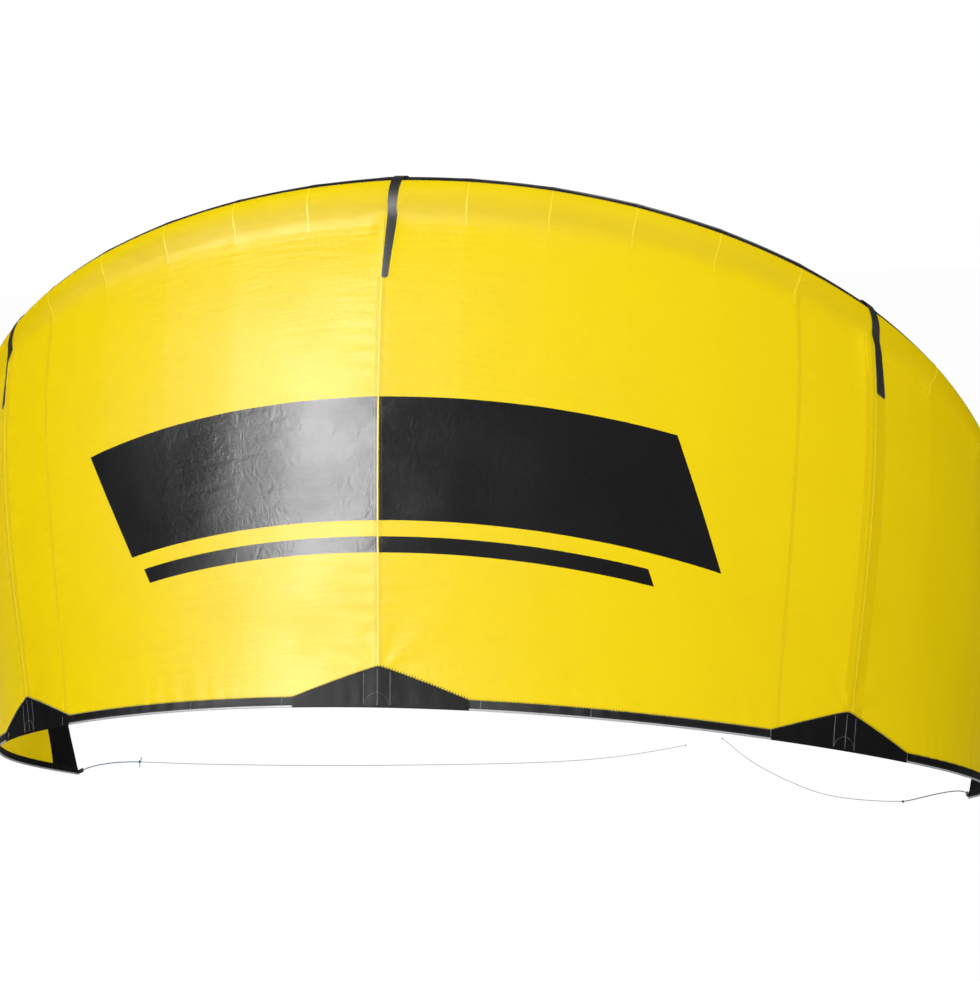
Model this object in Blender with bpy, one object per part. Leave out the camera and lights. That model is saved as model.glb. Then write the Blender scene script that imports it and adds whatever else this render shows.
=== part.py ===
"""An inflatable three-strut kite for kitesurfing.

Metres, +Z up, +X along the span, -Y on the outer side of the arc. The origin is on the axis of
the leading edge tube at mid span, where a hand or a display hook holds the kite.
"""

import functools
import math

import bmesh
import bpy
import numpy as np
from mathutils import Matrix, Vector

# Gaps and walls that many pieces share
SEAT_GAP = 0.0004
SEAM_GAP = 0.0003
OVERLAY_GAP = 0.0006
CLOTH = 0.002
CASING_WALL = 0.0015
BLADDER_WALL = 0.0012
BLADDER_GAP = 0.0006
OVERRUN = 0.01

# Leading edge: its axis seen from above turns away from the span, and it drops towards the tip
LE_PLAN_HALF = 2.783
LE_TURN = math.radians(116.1)
LE_TURN_LATE_SHARE = 0.705
LE_DROP = 2.008
LE_DROP_LATE_SHARE = 0.3875
LE_RADIUS_CENTRE = 0.100
LE_RADIUS_TIP = 0.045
LE_BAY_SECTIONS = 6
LE_TIP_SECTIONS = 5
LE_SIDES = 16
LE_CAP_LENGTH = 0.030
LE_CAP_SHARES = (0.0, 0.35, 0.7, 0.9)

# Facets round the tube, counted from the outer side towards the trailing edge
HOSE_FACET_INDEX = 5
INNER_FACET_INDEX = 7
TAB_FACET_INDEX = 9

# Sewn sections of the tube, counted from the middle, that hold a fitting
INFLATION_SECTION_INDEX = 0
DUMP_SECTION_INDEX = 3
INNER_TAB_SECTION_INDEX = 2
OUTER_TAB_SECTION_INDEX = 7

# Trailing edge: below the leading edge and nearer to the outer side
TE_PLAN_HALF = 3.069
TE_TURN = math.radians(107.4)
TE_TURN_LATE_SHARE = 0.3224
TE_DROP = 0.904
TE_DROP_LATE_SHARE = -0.259
TE_BELOW = 1.520
TE_OUT = 0.493

# Canopy: three struts, two bays between them and a tip bay beyond each outer strut
STRUT_TE_SHARE = 0.5
STRUT_LE_SHARE = 0.55
CAMBER_SHARE = 0.034
CAMBER_TAIL = 1.6
BAY_FLATTENING = 0.018
CHORD_ROWS = 7
DART_ROW_SHARE = 0.095
PATCH_HEIGHT = 0.125
PATCH_THICKNESS = 0.001
HEM_WIDTH = 0.030
HEM_THICKNESS = 0.0015
DART_THICKNESS = 0.001
DART_HALF_WIDTH_TOP = 0.0175
DART_HALF_WIDTH_END = 0.009
DART_TUBE_STEPS = (-4, -3, -2, -1, 0)
DART_CANOPY_STEPS = (1, 4)
DART_LAST_STEP = 4

# Struts: tapered tubes on the inner side
STRUT_SIDES = 12
STRUT_RADIUS_FRONT = 0.055
STRUT_RADIUS_REAR = 0.028
STRUT_LE_GAP = 0.0013
STRUT_END_SHARE = 0.6

# Carrying handle on the middle strut
HANDLE_WIDTH = 0.034
HANDLE_THICKNESS = 0.004
HANDLE_HEIGHT = 0.050
HANDLE_START_SHARE = 0.40
HANDLE_END_SHARE = 0.56
HANDLE_FOOT_SHARE = 0.12
HANDLE_STEPS = 14

# Valves on the leading edge
VALVE_BORE_RADIUS = 0.013
DUMP_BORE_RADIUS = 0.019
VALVE_WALL = 0.0025
VALVE_FLANGE_WIDTH = 0.012
VALVE_FLANGE_THICKNESS = 0.0025
VALVE_NECK_HEIGHT = 0.011
VALVE_STEM_DEPTH = 0.012
VALVE_SEAT_GAP = 0.0008
VALVE_HOLE_GAP = 0.0008
CAP_THICKNESS = 0.003
CAP_OVERHANG = 0.0015
PLUG_DEPTH = 0.004
PLUG_GAP = 0.0005
PLUG_TAPER = 0.0012
FLAP_THICKNESS = 0.001
FLAP_OVERLAP = 0.0008
VALVE_STEPS = 16

# Hinges of the valve caps and the hose clips: a barrel with stub pins in two ears
PIN_RADIUS = 0.0018
PIN_GAP = 0.0004
BARREL_RADIUS = 0.0028
BARREL_LENGTH = 0.008
BARREL_SETBACK = 0.0065
EAR_THICKNESS = 0.003
EAR_GAP = 0.0005
EAR_RIM = 0.0025
LUG_INSET = 0.0003
PIN_SIDES = 12

# Hoses that share the air, with an elbow on each tube and a clip on the hose
ELBOW_STEM_RADIUS = 0.0055
ELBOW_FLANGE_RADIUS = 0.0125
ELBOW_FLANGE_THICKNESS = 0.002
ELBOW_NECK_RADIUS = 0.0065
ELBOW_NECK_HEIGHT = 0.008
ELBOW_BEND_RADIUS = 0.009
ELBOW_NOZZLE_RADIUS = 0.0055
ELBOW_NOZZLE_LENGTH = 0.016
ELBOW_BORE_RADIUS = 0.0035
ELBOW_STEM_DEPTH = 0.009
ELBOW_SIDES = 8
MIDDLE_HOSE_SHARE = 0.35
OUTER_HOSE_SHARE = 0.65
STRUT_HOSE_SHARE = 0.35
HOSE_BORE_RADIUS = 0.0062
HOSE_RADIUS = 0.0082
HOSE_OVER_NOZZLE = 0.012
HOSE_STEPS = 7
HOSE_SLACK_SHARE = 0.38
CLIP_LENGTH = 0.030
CLIP_WALL = 0.003
CLIP_GAP = 0.0006
CLIP_NOSE_WIDTH = 0.004
LEVER_THICKNESS = 0.0035
LEVER_LIFT = 0.003

# Webbing tabs that take the bridle on the leading edge and the rear lines at the tips
TAB_WIDTH = 0.030
TAB_HEIGHT = 0.036
TAB_STRAP_WIDTH = 0.014
TAB_EYE_RADIUS = 0.0115
TAB_ARCH_STEPS = 8
TAB_FOOT_STEPS = 3
TAB_BASE_LENGTH = 0.046
TAB_BASE_WIDTH = 0.024
TAB_BASE_THICKNESS = 0.0025
REAR_TAB_WIDTH = 0.018
REAR_TAB_LENGTH = 0.040
REAR_TAB_THICKNESS = 0.003
REAR_TAB_BEVEL = 0.0008

# Rear lines: a thick pigtail with a knot at each tip, then the thin flying line
PIGTAIL_DIAMETER = 0.004
LINE_DIAMETER = 0.0024
KNOT_SWELL_SHARE = 2.4
LINE_START_GAP = 0.0005
PIGTAIL_LEAD = 0.10
PIGTAIL_POINTS = 16
LINE_POINTS = 28
LEFT_KNOT = (-1.738, 1.707, -2.475)
LEFT_ROUTE = [
    LEFT_KNOT,
    (-1.537, 1.905, -2.546), (-1.320, 2.121, -2.618), (-1.096, 2.350, -2.691), (-0.861, 2.593, -2.766),
    (-0.617, 2.851, -2.843), (-0.361, 3.126, -2.923), (-0.093, 3.418, -3.002), (0.141, 3.678, -3.060),
    (0.336, 3.896, -3.094), (0.523, 4.107, -3.119),
]
RIGHT_KNOT = (1.646, 1.707, -2.564)
RIGHT_ROUTE = [
    RIGHT_KNOT,
    (1.559, 1.935, -2.646), (1.466, 2.178, -2.728), (1.366, 2.437, -2.809), (1.265, 2.701, -2.880),
    (1.146, 3.009, -2.944), (1.023, 3.327, -3.001), (0.891, 3.668, -3.047), (0.721, 4.107, -3.073),
]

FINE_STEPS = 400
HALVINGS = 40
PROBE = 1e-3
MERGE = 1e-5
SMOOTH_ANGLE = math.radians(30)

YELLOW = ("canopy_cloth", (0.86, 0.66, 0.03), 0.35, 0.0)
DACRON = ("tube_cloth", (0.86, 0.68, 0.05), 0.45, 0.0)
BLACK_CLOTH = ("black_cloth", (0.035, 0.035, 0.038), 0.6, 0.0)
BLADDER = ("bladder_film", (0.75, 0.80, 0.82), 0.3, 0.0)
MOULDED = ("moulded_plastic", (0.05, 0.05, 0.055), 0.45, 0.0)
HOSE = ("hose_rubber", (0.70, 0.72, 0.74), 0.5, 0.0)
WEBBING = ("webbing", (0.04, 0.04, 0.045), 0.8, 0.0)
BLUE_LINE = ("blue_line", (0.03, 0.18, 0.50), 0.7, 0.0)
GREY_LINE = ("grey_line", (0.55, 0.56, 0.58), 0.7, 0.0)


# Scene and material helpers

def clear_scene():
    for item in list(bpy.data.objects):
        bpy.data.objects.remove(item, do_unlink=True)


def material(finish):
    name, colour, roughness, metallic = finish
    made = bpy.data.materials.get(name)
    if made is None:
        made = bpy.data.materials.new(name)
        made.use_nodes = True
        shader = made.node_tree.nodes["Principled BSDF"]
        shader.inputs["Base Color"].default_value = (*colour, 1.0)
        shader.inputs["Roughness"].default_value = roughness
        shader.inputs["Metallic"].default_value = metallic
    return made


def add_object(name, data, finish):
    item = bpy.data.objects.new(name, data)
    bpy.context.scene.collection.objects.link(item)
    data.materials.append(material(finish))
    return item


def finish_mesh(name, bm, finish, cavity=()):
    """Point all faces out, and those round a cavity into it, and make the object."""
    bmesh.ops.recalc_face_normals(bm, faces=bm.faces)
    bmesh.ops.reverse_faces(bm, faces=list(cavity))
    mesh = bpy.data.meshes.new(name)
    bm.to_mesh(mesh)
    bm.free()
    mesh.shade_smooth()
    mesh.set_sharp_from_angle(angle=SMOOTH_ANGLE)
    return add_object(name, mesh, finish)


def boolean(target, tool, operation):
    """Join or cut with a hidden tool, which stays in the file as a wire guide."""
    tool.hide_render = True
    tool.display_type = "WIRE"
    step = target.modifiers.new(tool.name, "BOOLEAN")
    step.operation = operation
    step.solver = "EXACT"
    step.object = tool


# Mesh helpers

def skin_between(bm, first, second, crossed=()):
    """Two triangles to each quad between closed rings; the quads in crossed are split the other way."""
    count = len(first)
    for k in range(count):
        after = (k + 1) % count
        if k in crossed:
            bm.faces.new((first[k], first[after], second[k]))
            bm.faces.new((first[after], second[after], second[k]))
        else:
            bm.faces.new((first[k], first[after], second[after]))
            bm.faces.new((first[k], second[after], second[k]))


def rings_to_verts(bm, rings):
    return [[bm.verts.new(point) for point in ring] for ring in rings]


def loft(name, rings, finish, cyclic=False, crossed=None):
    """A solid through closed rings, capped at both ends or joined end to start."""
    bm = bmesh.new()
    rows = rings_to_verts(bm, rings)
    for index, (first, second) in enumerate(zip(rows, rows[1:])):
        skin_between(bm, first, second, crossed(index) if crossed else ())
    if cyclic:
        skin_between(bm, rows[-1], rows[0])
    else:
        for row in (rows[0], rows[-1]):
            bmesh.ops.triangulate(bm, faces=[bm.faces.new(row)])
    return finish_mesh(name, bm, finish)


def shell(name, outer, inner, finish, closed_start=False, closed_end=False):
    """A tube with a wall, whose two skins are faceted alike, open or closed at each end."""
    bm = bmesh.new()
    out_rows = rings_to_verts(bm, outer)
    in_rows = rings_to_verts(bm, inner)
    for rows in (out_rows, in_rows):
        for first, second in zip(rows, rows[1:]):
            skin_between(bm, first, second)
    for end, closed in ((0, closed_start), (-1, closed_end)):
        if closed:
            for row in (out_rows[end], in_rows[end]):
                centre = bm.verts.new(sum((vert.co for vert in row), Vector()) / len(row))
                for k, vert in enumerate(row):
                    bm.faces.new((centre, vert, row[(k + 1) % len(row)]))
        else:
            skin_between(bm, out_rows[end], in_rows[end])
    inside = {vert for row in in_rows for vert in row}
    sealed = closed_start and closed_end
    cavity = [face for face in bm.faces if sealed and any(vert in inside for vert in face.verts)]
    return finish_mesh(name, bm, finish, cavity)


def thick_skin(name, triangles, low, high, finish):
    """A thin solid over triangles of grid keys: low and high give each key's two points."""
    bm = bmesh.new()
    keys = sorted({key for triangle in triangles for key in triangle})
    under = {key: bm.verts.new(low(key)) for key in keys}
    over = {key: bm.verts.new(high(key)) for key in keys}
    edges = {}
    for a, b, c in triangles:
        bm.faces.new((over[a], over[b], over[c]))
        bm.faces.new((under[c], under[b], under[a]))
        for pair in ((a, b), (b, c), (c, a)):
            edges[pair] = True
    for a, b in edges:
        if (b, a) not in edges:
            bm.faces.new((over[b], over[a], under[a]))
            bm.faces.new((over[b], under[a], under[b]))
    return finish_mesh(name, bm, finish)


def box_mesh(name, low, high, frame, finish):
    bm = bmesh.new()
    bmesh.ops.create_cube(bm, size=1.0)
    middle = (Vector(low) + Vector(high)) / 2
    size = Vector(high) - Vector(low)
    place = frame @ Matrix.Translation(middle) @ Matrix.Diagonal((*size, 1.0))
    bmesh.ops.transform(bm, matrix=place, verts=bm.verts)
    return finish_mesh(name, bm, finish)


def cylinder_mesh(name, radius, start, end, frame, finish, sides=PIN_SIDES, axis="Z"):
    """A cylinder along one axis of a local frame, from start to end on that axis."""
    turn = {"Z": Matrix(), "Y": Matrix.Rotation(-math.pi / 2, 4, "X")}[axis]
    bm = bmesh.new()
    depth = end - start
    bmesh.ops.create_cone(bm, cap_ends=True, segments=sides, radius1=radius, radius2=radius, depth=depth)
    lift = Matrix.Translation((0, 0, (start + end) / 2))
    bmesh.ops.transform(bm, matrix=frame @ turn @ lift, verts=bm.verts)
    return finish_mesh(name, bm, finish)


def turned(name, outline, frame, finish, steps=VALVE_STEPS):
    """A profile of (radius, height) points turned about the local Z axis by a Screw modifier."""
    mesh = bpy.data.meshes.new(name)
    closed = min(radius for radius, height in outline) > 0
    count = len(outline)
    joins = [(k, (k + 1) % count) for k in range(count if closed else count - 1)]
    mesh.from_pydata([(radius, 0.0, height) for radius, height in outline], joins, [])
    item = add_object(name, mesh, finish)
    item.matrix_world = frame
    screw = item.modifiers.new("turn", "SCREW")
    screw.steps = steps
    screw.render_steps = steps
    screw.use_merge_vertices = True
    screw.merge_threshold = MERGE
    screw.use_smooth_shade = True
    return item


# Curves of the leading and trailing edges

def plan(half, turn, late_share):
    """Half an edge seen from above, whose heading turns away from the span."""
    share = np.linspace(0.0, 1.0, FINE_STEPS + 1)
    heading = turn * ((1 - late_share) * share + late_share * share**3)
    middle = (heading[1:] + heading[:-1]) / 2
    step = half / FINE_STEPS
    along = np.concatenate([[0.0], np.cumsum(np.cos(middle)) * step])
    away = np.concatenate([[0.0], np.cumsum(np.sin(middle)) * step])
    return share, along, away


LE_PLAN = plan(LE_PLAN_HALF, LE_TURN, LE_TURN_LATE_SHARE)
TE_PLAN = plan(TE_PLAN_HALF, TE_TURN, TE_TURN_LATE_SHARE)
LE_LEAD_SHARE = 4 * (STRUT_LE_SHARE - STRUT_TE_SHARE)


def edge_point(plan_curve, share, drop, late_share, low, out):
    size = min(abs(share), 1.0)
    fall = drop * ((1 - late_share) * size**2 + late_share * size**4)
    along = np.interp(size, plan_curve[0], plan_curve[1])
    away = np.interp(size, plan_curve[0], plan_curve[2])
    return Vector((math.copysign(along, share), away - out, -fall - low))


def le_axis(share):
    return edge_point(LE_PLAN, share, LE_DROP, LE_DROP_LATE_SHARE, 0.0, 0.0)


def te_point(share):
    return edge_point(TE_PLAN, share, TE_DROP, TE_DROP_LATE_SHARE, TE_BELOW, TE_OUT)


def le_share(u):
    """Where on the leading edge the chord from trailing edge share u ends."""
    size = abs(u)
    return math.copysign(size + LE_LEAD_SHARE * size * (1 - size), u)


U_TABLE = np.linspace(0.0, 1.0, FINE_STEPS + 1)
LE_TABLE = U_TABLE + LE_LEAD_SHARE * U_TABLE * (1 - U_TABLE)


def te_share(share):
    return math.copysign(float(np.interp(abs(share), LE_TABLE, U_TABLE)), share)


# The tube is sewn from short conical sections, so its axis is straight between seams
LE_SEAMS = [STRUT_LE_SHARE * k / LE_BAY_SECTIONS for k in range(LE_BAY_SECTIONS)]
LE_SEAMS += [STRUT_LE_SHARE + (1 - STRUT_LE_SHARE) * k / LE_TIP_SECTIONS for k in range(LE_TIP_SECTIONS + 1)]
LE_MIDDLES = [(a + b) / 2 for a, b in zip(LE_SEAMS, LE_SEAMS[1:])]
COLUMNS = [te_share(share) for share in sorted(LE_SEAMS + LE_MIDDLES)]
STRUT_COLUMN = 2 * LE_BAY_SECTIONS
PANEL_COLUMN = len(COLUMNS) - 3


def le_radius(share):
    return LE_RADIUS_CENTRE + (LE_RADIUS_TIP - LE_RADIUS_CENTRE) * abs(share)


@functools.lru_cache(maxsize=None)
def le_frame(share):
    """Axis point, tangent along +X, chordwise direction to the front, outward direction."""
    centre = le_axis(share)
    step = (le_axis(share + PROBE) - le_axis(share - PROBE)) if abs(share) < 1 else None
    if step is None:
        step = (centre - le_axis(share - math.copysign(PROBE, share))) * math.copysign(1, share)
    tangent = step.normalized()
    chord = centre - te_point(te_share(share))
    front = (chord - tangent * chord.dot(tangent)).normalized()
    return centre, tangent, front, tangent.cross(front).normalized()


def ring_point(share, angle, clearance):
    """A point round the tube: angle 0 faces out, 90 degrees faces the trailing edge."""
    centre, tangent, front, outward = le_frame(share)
    reach = le_radius(share) + clearance
    return centre + outward * (reach * math.cos(angle)) - front * (reach * math.sin(angle))


def tube_point(share, angle, clearance):
    """The same on the sewn tube, whose sections are straight between seams."""
    size = abs(share)
    after = next((k for k, seam in enumerate(LE_SEAMS) if seam >= size), len(LE_SEAMS) - 1)
    after = max(after, 1)
    low, high = LE_SEAMS[after - 1], LE_SEAMS[after]
    mix = (size - low) / (high - low)
    side = math.copysign(1, share)
    near = ring_point(side * low, angle, clearance)
    far = ring_point(side * high, angle, clearance)
    return near.lerp(far, mix)


def vertex_angle(k):
    return 2 * math.pi * k / LE_SIDES


def le_ring(share, clearance):
    return [ring_point(share, vertex_angle(k), clearance) for k in range(LE_SIDES)]


ALL_SEAMS = sorted({-seam for seam in LE_SEAMS} | set(LE_SEAMS))


def tube_clearance(point):
    """How far a point lies outside the leading edge tube."""
    best = math.inf
    for low, high in zip(ALL_SEAMS, ALL_SEAMS[1:]):
        start, end = le_axis(low), le_axis(high)
        run = end - start
        mix = min(max((point - start).dot(run) / run.length_squared, 0.0), 1.0)
        radius = le_radius(low) + (le_radius(high) - le_radius(low)) * mix
        best = min(best, (point - start.lerp(end, mix)).length - radius)
    return best


# Canopy surface, by span share u and chord share v from the tube to the trailing edge
ATTACH_ANGLE = vertex_angle(1)
CAMBER_PEAK = (1 / (1 + CAMBER_TAIL)) * (CAMBER_TAIL / (1 + CAMBER_TAIL)) ** CAMBER_TAIL


@functools.lru_cache(maxsize=None)
def chord_ends(u):
    front = tube_point(le_share(u), ATTACH_ANGLE, SEAT_GAP + CLOTH)
    return front, te_point(u)


def chord_length(u):
    front, rear = chord_ends(u)
    return (rear - front).length


def bay_share(u):
    size = abs(u)
    if size <= STRUT_TE_SHARE:
        return size / STRUT_TE_SHARE
    return (size - STRUT_TE_SHARE) / (1 - STRUT_TE_SHARE)


@functools.lru_cache(maxsize=None)
def surface(u, v):
    front, rear = chord_ends(u)
    outward = le_frame(le_share(u))[3]
    camber = CAMBER_SHARE * (rear - front).length * v * (1 - v) ** CAMBER_TAIL / CAMBER_PEAK
    flat = BAY_FLATTENING * math.sin(math.pi * bay_share(u)) * (1 - (2 * v - 1) ** 4)
    return front.lerp(rear, v) + outward * (camber - flat)


@functools.lru_cache(maxsize=None)
def normal(u, v):
    u_low, u_high = max(u - PROBE, -1.0), min(u + PROBE, 1.0)
    v_low, v_high = max(v - PROBE, 0.0), min(v + PROBE, 1.0)
    along = surface(u_high, v) - surface(u_low, v)
    down = surface(u, v_high) - surface(u, v_low)
    return down.cross(along).normalized()


def lifted(u, v, height):
    return surface(u, v) + normal(u, v) * height


@functools.lru_cache(maxsize=None)
def rows(u):
    """Chord shares of the canopy's rows at one column, from the tube to the trailing edge."""
    length = chord_length(u)
    patch_top = 1 - PATCH_HEIGHT / length
    hem_top = 1 - HEM_WIDTH / length
    middle = [DART_ROW_SHARE + (patch_top - DART_ROW_SHARE) * k / CHORD_ROWS for k in range(CHORD_ROWS + 1)]
    return (0.0, *middle, (patch_top + hem_top) / 2, hem_top, 1.0)


ROW_COUNT = CHORD_ROWS + 5
PATCH_ROW, PATCH_MIDDLE_ROW, HEM_ROW = CHORD_ROWS + 1, CHORD_ROWS + 2, CHORD_ROWS + 3


def column(index):
    """Span share of a column; negative numbers count to the left."""
    return math.copysign(COLUMNS[abs(index)], index)


def leans_away(low):
    """Whether the cell between columns low and low + 1 of the right half has a strut on its left."""
    return low < LE_BAY_SECTIONS or low >= STRUT_COLUMN


def cell(i, j, side):
    """The two triangles of one canopy cell; each cell is split down and away from its strut."""
    near, far = side * i, side * (i + 1)
    if not leans_away(i):
        near, far = far, near
    return [((near, j), (near, j + 1), (far, j + 1)), ((near, j), (far, j + 1), (far, j))]


def wound_alike(triangles):
    """Turn every triangle the same way round in the grid of columns and rows."""
    made = []
    for a, b, c in triangles:
        area = (b[0] - a[0]) * (c[1] - a[1]) - (b[1] - a[1]) * (c[0] - a[0])
        made.append((a, b, c) if area > 0 else (a, c, b))
    return made


def seam_shift(index, ends, point_at):
    """A point at a column, drawn back from the seam at either end column."""
    point = point_at(index)
    if index not in ends:
        return point
    inner = index + (1 if index == min(ends) else -1)
    return point + (point_at(inner) - point).normalized() * (SEAM_GAP / 2)


def canopy_piece(name, first, last, side, finish):
    cells = [(i, j) for i in range(first, last) for j in range(ROW_COUNT - 1)]
    triangles = wound_alike([triangle for i, j in cells for triangle in cell(i, j, side)])
    ends = (side * first, side * last)

    def at(key, height):
        index, j = key
        return seam_shift(index, ends, lambda i: lifted(column(i), rows(column(i))[j], height))

    thick_skin(name, triangles, lambda key: at(key, -CLOTH / 2), lambda key: at(key, CLOTH / 2), finish)


def make_canopy():
    for side, word in ((-1, "left"), (1, "right")):
        canopy_piece(f"canopy_{word}_bay", 0, STRUT_COLUMN, side, YELLOW)
        canopy_piece(f"canopy_{word}_tip", STRUT_COLUMN, PANEL_COLUMN, side, YELLOW)
        canopy_piece(f"{word}_tip_panel", PANEL_COLUMN, len(COLUMNS) - 1, side, BLACK_CLOTH)


def hem_ring(index):
    """The folded tape round the trailing edge, as a U of eight points."""
    u = column(index)
    hem_top = rows(u)[HEM_ROW]
    near = CLOTH / 2 + SEAT_GAP
    far = near + HEM_THICKNESS
    drop = (surface(u, 1.0) - surface(u, hem_top)).normalized()
    return [
        lifted(u, hem_top, far), lifted(u, 1.0, far) + drop * far,
        lifted(u, 1.0, -far) + drop * far, lifted(u, hem_top, -far),
        lifted(u, hem_top, -near), lifted(u, 1.0, -near) + drop * near,
        lifted(u, 1.0, near) + drop * near, lifted(u, hem_top, near),
    ]


def hem_splits(low):
    """Which of the hem's quads between columns low and low + 1 to cross, to be split as the canopy is."""
    return (2, 5, 6) if leans_away(low) else (0, 1, 4)


def make_hem():
    for side, word in ((-1, "left"), (1, "right")):
        for part, first, last in (("bay", 0, STRUT_COLUMN), ("tip", STRUT_COLUMN, len(COLUMNS) - 1)):
            ends = (side * first, side * last)
            rings = []
            for i in range(first, last + 1):
                ring = [seam_shift(side * i, ends, lambda index: hem_ring(index)[k]) for k in range(8)]
                rings.append(ring)
            loft(f"hem_{word}_{part}", rings, BLACK_CLOTH, crossed=lambda k: hem_splits(first + k))


def strut_columns():
    return (("left", -STRUT_COLUMN), ("middle", 0), ("right", STRUT_COLUMN))


def make_patches():
    """Triangular patches over the canopy where each strut meets the trailing edge."""
    for word, middle in strut_columns():
        triangles = []
        for way in (-1, 1):
            inner, next_one, outer = middle, middle + way, middle + 2 * way
            triangles += [
                ((inner, PATCH_ROW), (inner, PATCH_MIDDLE_ROW), (next_one, PATCH_MIDDLE_ROW)),
                ((inner, PATCH_MIDDLE_ROW), (inner, HEM_ROW), (next_one, HEM_ROW)),
                ((inner, PATCH_MIDDLE_ROW), (next_one, HEM_ROW), (next_one, PATCH_MIDDLE_ROW)),
                ((next_one, PATCH_MIDDLE_ROW), (next_one, HEM_ROW), (outer, HEM_ROW)),
            ]

        def at(key, height):
            u = column(key[0])
            v = rows(u)[key[1]]
            if key[1] == HEM_ROW:
                v -= SEAM_GAP / chord_length(u)
            return lifted(u, v, CLOTH / 2 + SEAT_GAP + height)

        thick_skin(
            f"{word}_strut_patch", wound_alike(triangles),
            lambda key: at(key, 0.0), lambda key: at(key, PATCH_THICKNESS), BLACK_CLOTH,
        )


def tube_rise(share, angle, sideways, clearance):
    """A point over the tube beside a strut, sideways in metres along the span."""
    width = (le_axis(share + PROBE) - le_axis(share - PROBE)).length / (2 * PROBE)
    return tube_point(share + sideways / width, angle, clearance)


def make_darts():
    """Tapered strips that run from the top of the tube down onto the canopy at each strut."""
    for word, middle in strut_columns():
        u = column(middle)
        share = le_share(u)
        rings = []
        for k in DART_TUBE_STEPS:
            angle = vertex_angle(k)
            rings.append(dart_ring(lambda x, h: tube_rise(share, angle, x, OVERLAY_GAP + h), dart_width(k)))
        span = chord_span(u)
        for step, v in zip(DART_CANOPY_STEPS, rows(u)):
            width = dart_width(step)
            rings.append(dart_ring(lambda x, h: canopy_beside(u, v, x / span, h), width))
        loft(f"{word}_strut_dart", rings, BLACK_CLOTH, crossed=lambda k: (3, 4))


def chord_span(u):
    return (surface(u + PROBE, DART_ROW_SHARE) - surface(u - PROBE, DART_ROW_SHARE)).length / (2 * PROBE)


def dart_width(step):
    share = (step - DART_TUBE_STEPS[0]) / (DART_LAST_STEP - DART_TUBE_STEPS[0])
    return DART_HALF_WIDTH_TOP + (DART_HALF_WIDTH_END - DART_HALF_WIDTH_TOP) * share


def canopy_beside(u, v, step, height):
    """A point over the canopy's facets just beside a strut column."""
    index = min(range(len(COLUMNS)), key=lambda k: abs(COLUMNS[k] - abs(u))) * (-1 if u < 0 else 1)
    lift = CLOTH / 2 + OVERLAY_GAP + height
    if step == 0:
        return lifted(u, v, lift)
    way = 1 if step > 0 else -1
    beside = column(index + way)
    row = list(rows(u)).index(v)
    there = lifted(beside, rows(beside)[row], lift)
    return lifted(u, v, lift).lerp(there, step / (beside - u))


def dart_ring(point, half_width):
    sides = (-half_width, 0.0, half_width)
    return [point(x, DART_THICKNESS) for x in sides] + [point(x, 0.0) for x in reversed(sides)]


# Leading edge tube, its bladder and its ends

def make_leading_edge():
    pieces = (("left_tip", -1.0, -STRUT_LE_SHARE), ("left_bay", -STRUT_LE_SHARE, 0.0),
              ("right_bay", 0.0, STRUT_LE_SHARE), ("right_tip", STRUT_LE_SHARE, 1.0))
    casings = {}
    for word, low, high in pieces:
        seams = [seam for seam in ALL_SEAMS if low - PROBE < seam < high + PROBE]
        skins = []
        for clearance in (0.0, -CASING_WALL):
            rings = [le_ring(seam, clearance) for seam in seams]
            for end, inner in ((0, 1), (-1, -2)):
                pull = (le_axis(seams[inner]) - le_axis(seams[end])).normalized() * (SEAM_GAP / 2)
                rings[end] = [point + pull for point in rings[end]]
            skins.append(rings)
        casings[word] = shell(f"leading_edge_{word}", skins[0], skins[1], DACRON)
    skins = []
    for wall in (0.0, BLADDER_WALL):
        rings = [le_ring(seam, -CASING_WALL - BLADDER_GAP - wall) for seam in ALL_SEAMS]
        for end, inner in ((0, 1), (-1, -2)):
            pull = (le_axis(ALL_SEAMS[inner]) - le_axis(ALL_SEAMS[end])).normalized() * (BLADDER_GAP + wall)
            rings[end] = [point + pull for point in rings[end]]
        skins.append(rings)
    casings["bladder"] = shell("leading_edge_bladder", skins[0], skins[1], BLADDER, True, True)
    for side, word in ((-1, "left"), (1, "right")):
        make_end_cap(f"{word}_tube_end", side)
    return casings


def make_end_cap(name, side):
    """The sewn and rounded end of the leading edge tube."""
    centre, tangent, front, outward = le_frame(float(side))
    out = tangent * side
    rings = []
    for share in LE_CAP_SHARES:
        shrink = math.sqrt(1 - share**2)
        push = out * (SEAM_GAP + LE_CAP_LENGTH * share)
        rings.append([centre + (point - centre) * shrink + push for point in le_ring(float(side), 0.0)])
    loft(name, rings, DACRON)


# Struts

def strut_radius(v):
    return STRUT_RADIUS_FRONT + (STRUT_RADIUS_REAR - STRUT_RADIUS_FRONT) * v


def strut_centre(u, v):
    return surface(u, v) - normal(u, v) * (CLOTH / 2 + SEAT_GAP + strut_radius(v))


def strut_ring(u, v, shrink, along):
    """A ring round the strut; vertex 0 lies against the canopy."""
    centre = strut_centre(u, v)
    outward = normal(u, v)
    outward = (outward - along * outward.dot(along)).normalized()
    sideways = along.cross(outward)
    reach = strut_radius(v) - shrink
    ring = []
    for k in range(STRUT_SIDES):
        angle = 2 * math.pi * k / STRUT_SIDES
        ring.append(centre + outward * (reach * math.cos(angle)) + sideways * (reach * math.sin(angle)))
    return ring


def strut_stations(u):
    """Chord shares of the strut's rings: the canopy's rows, then its rear end."""
    spots = list(rows(u)[1:PATCH_ROW + 1])
    return spots + [spots[-1] + (rows(u)[PATCH_MIDDLE_ROW] - spots[-1]) * STRUT_END_SHARE]


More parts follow.
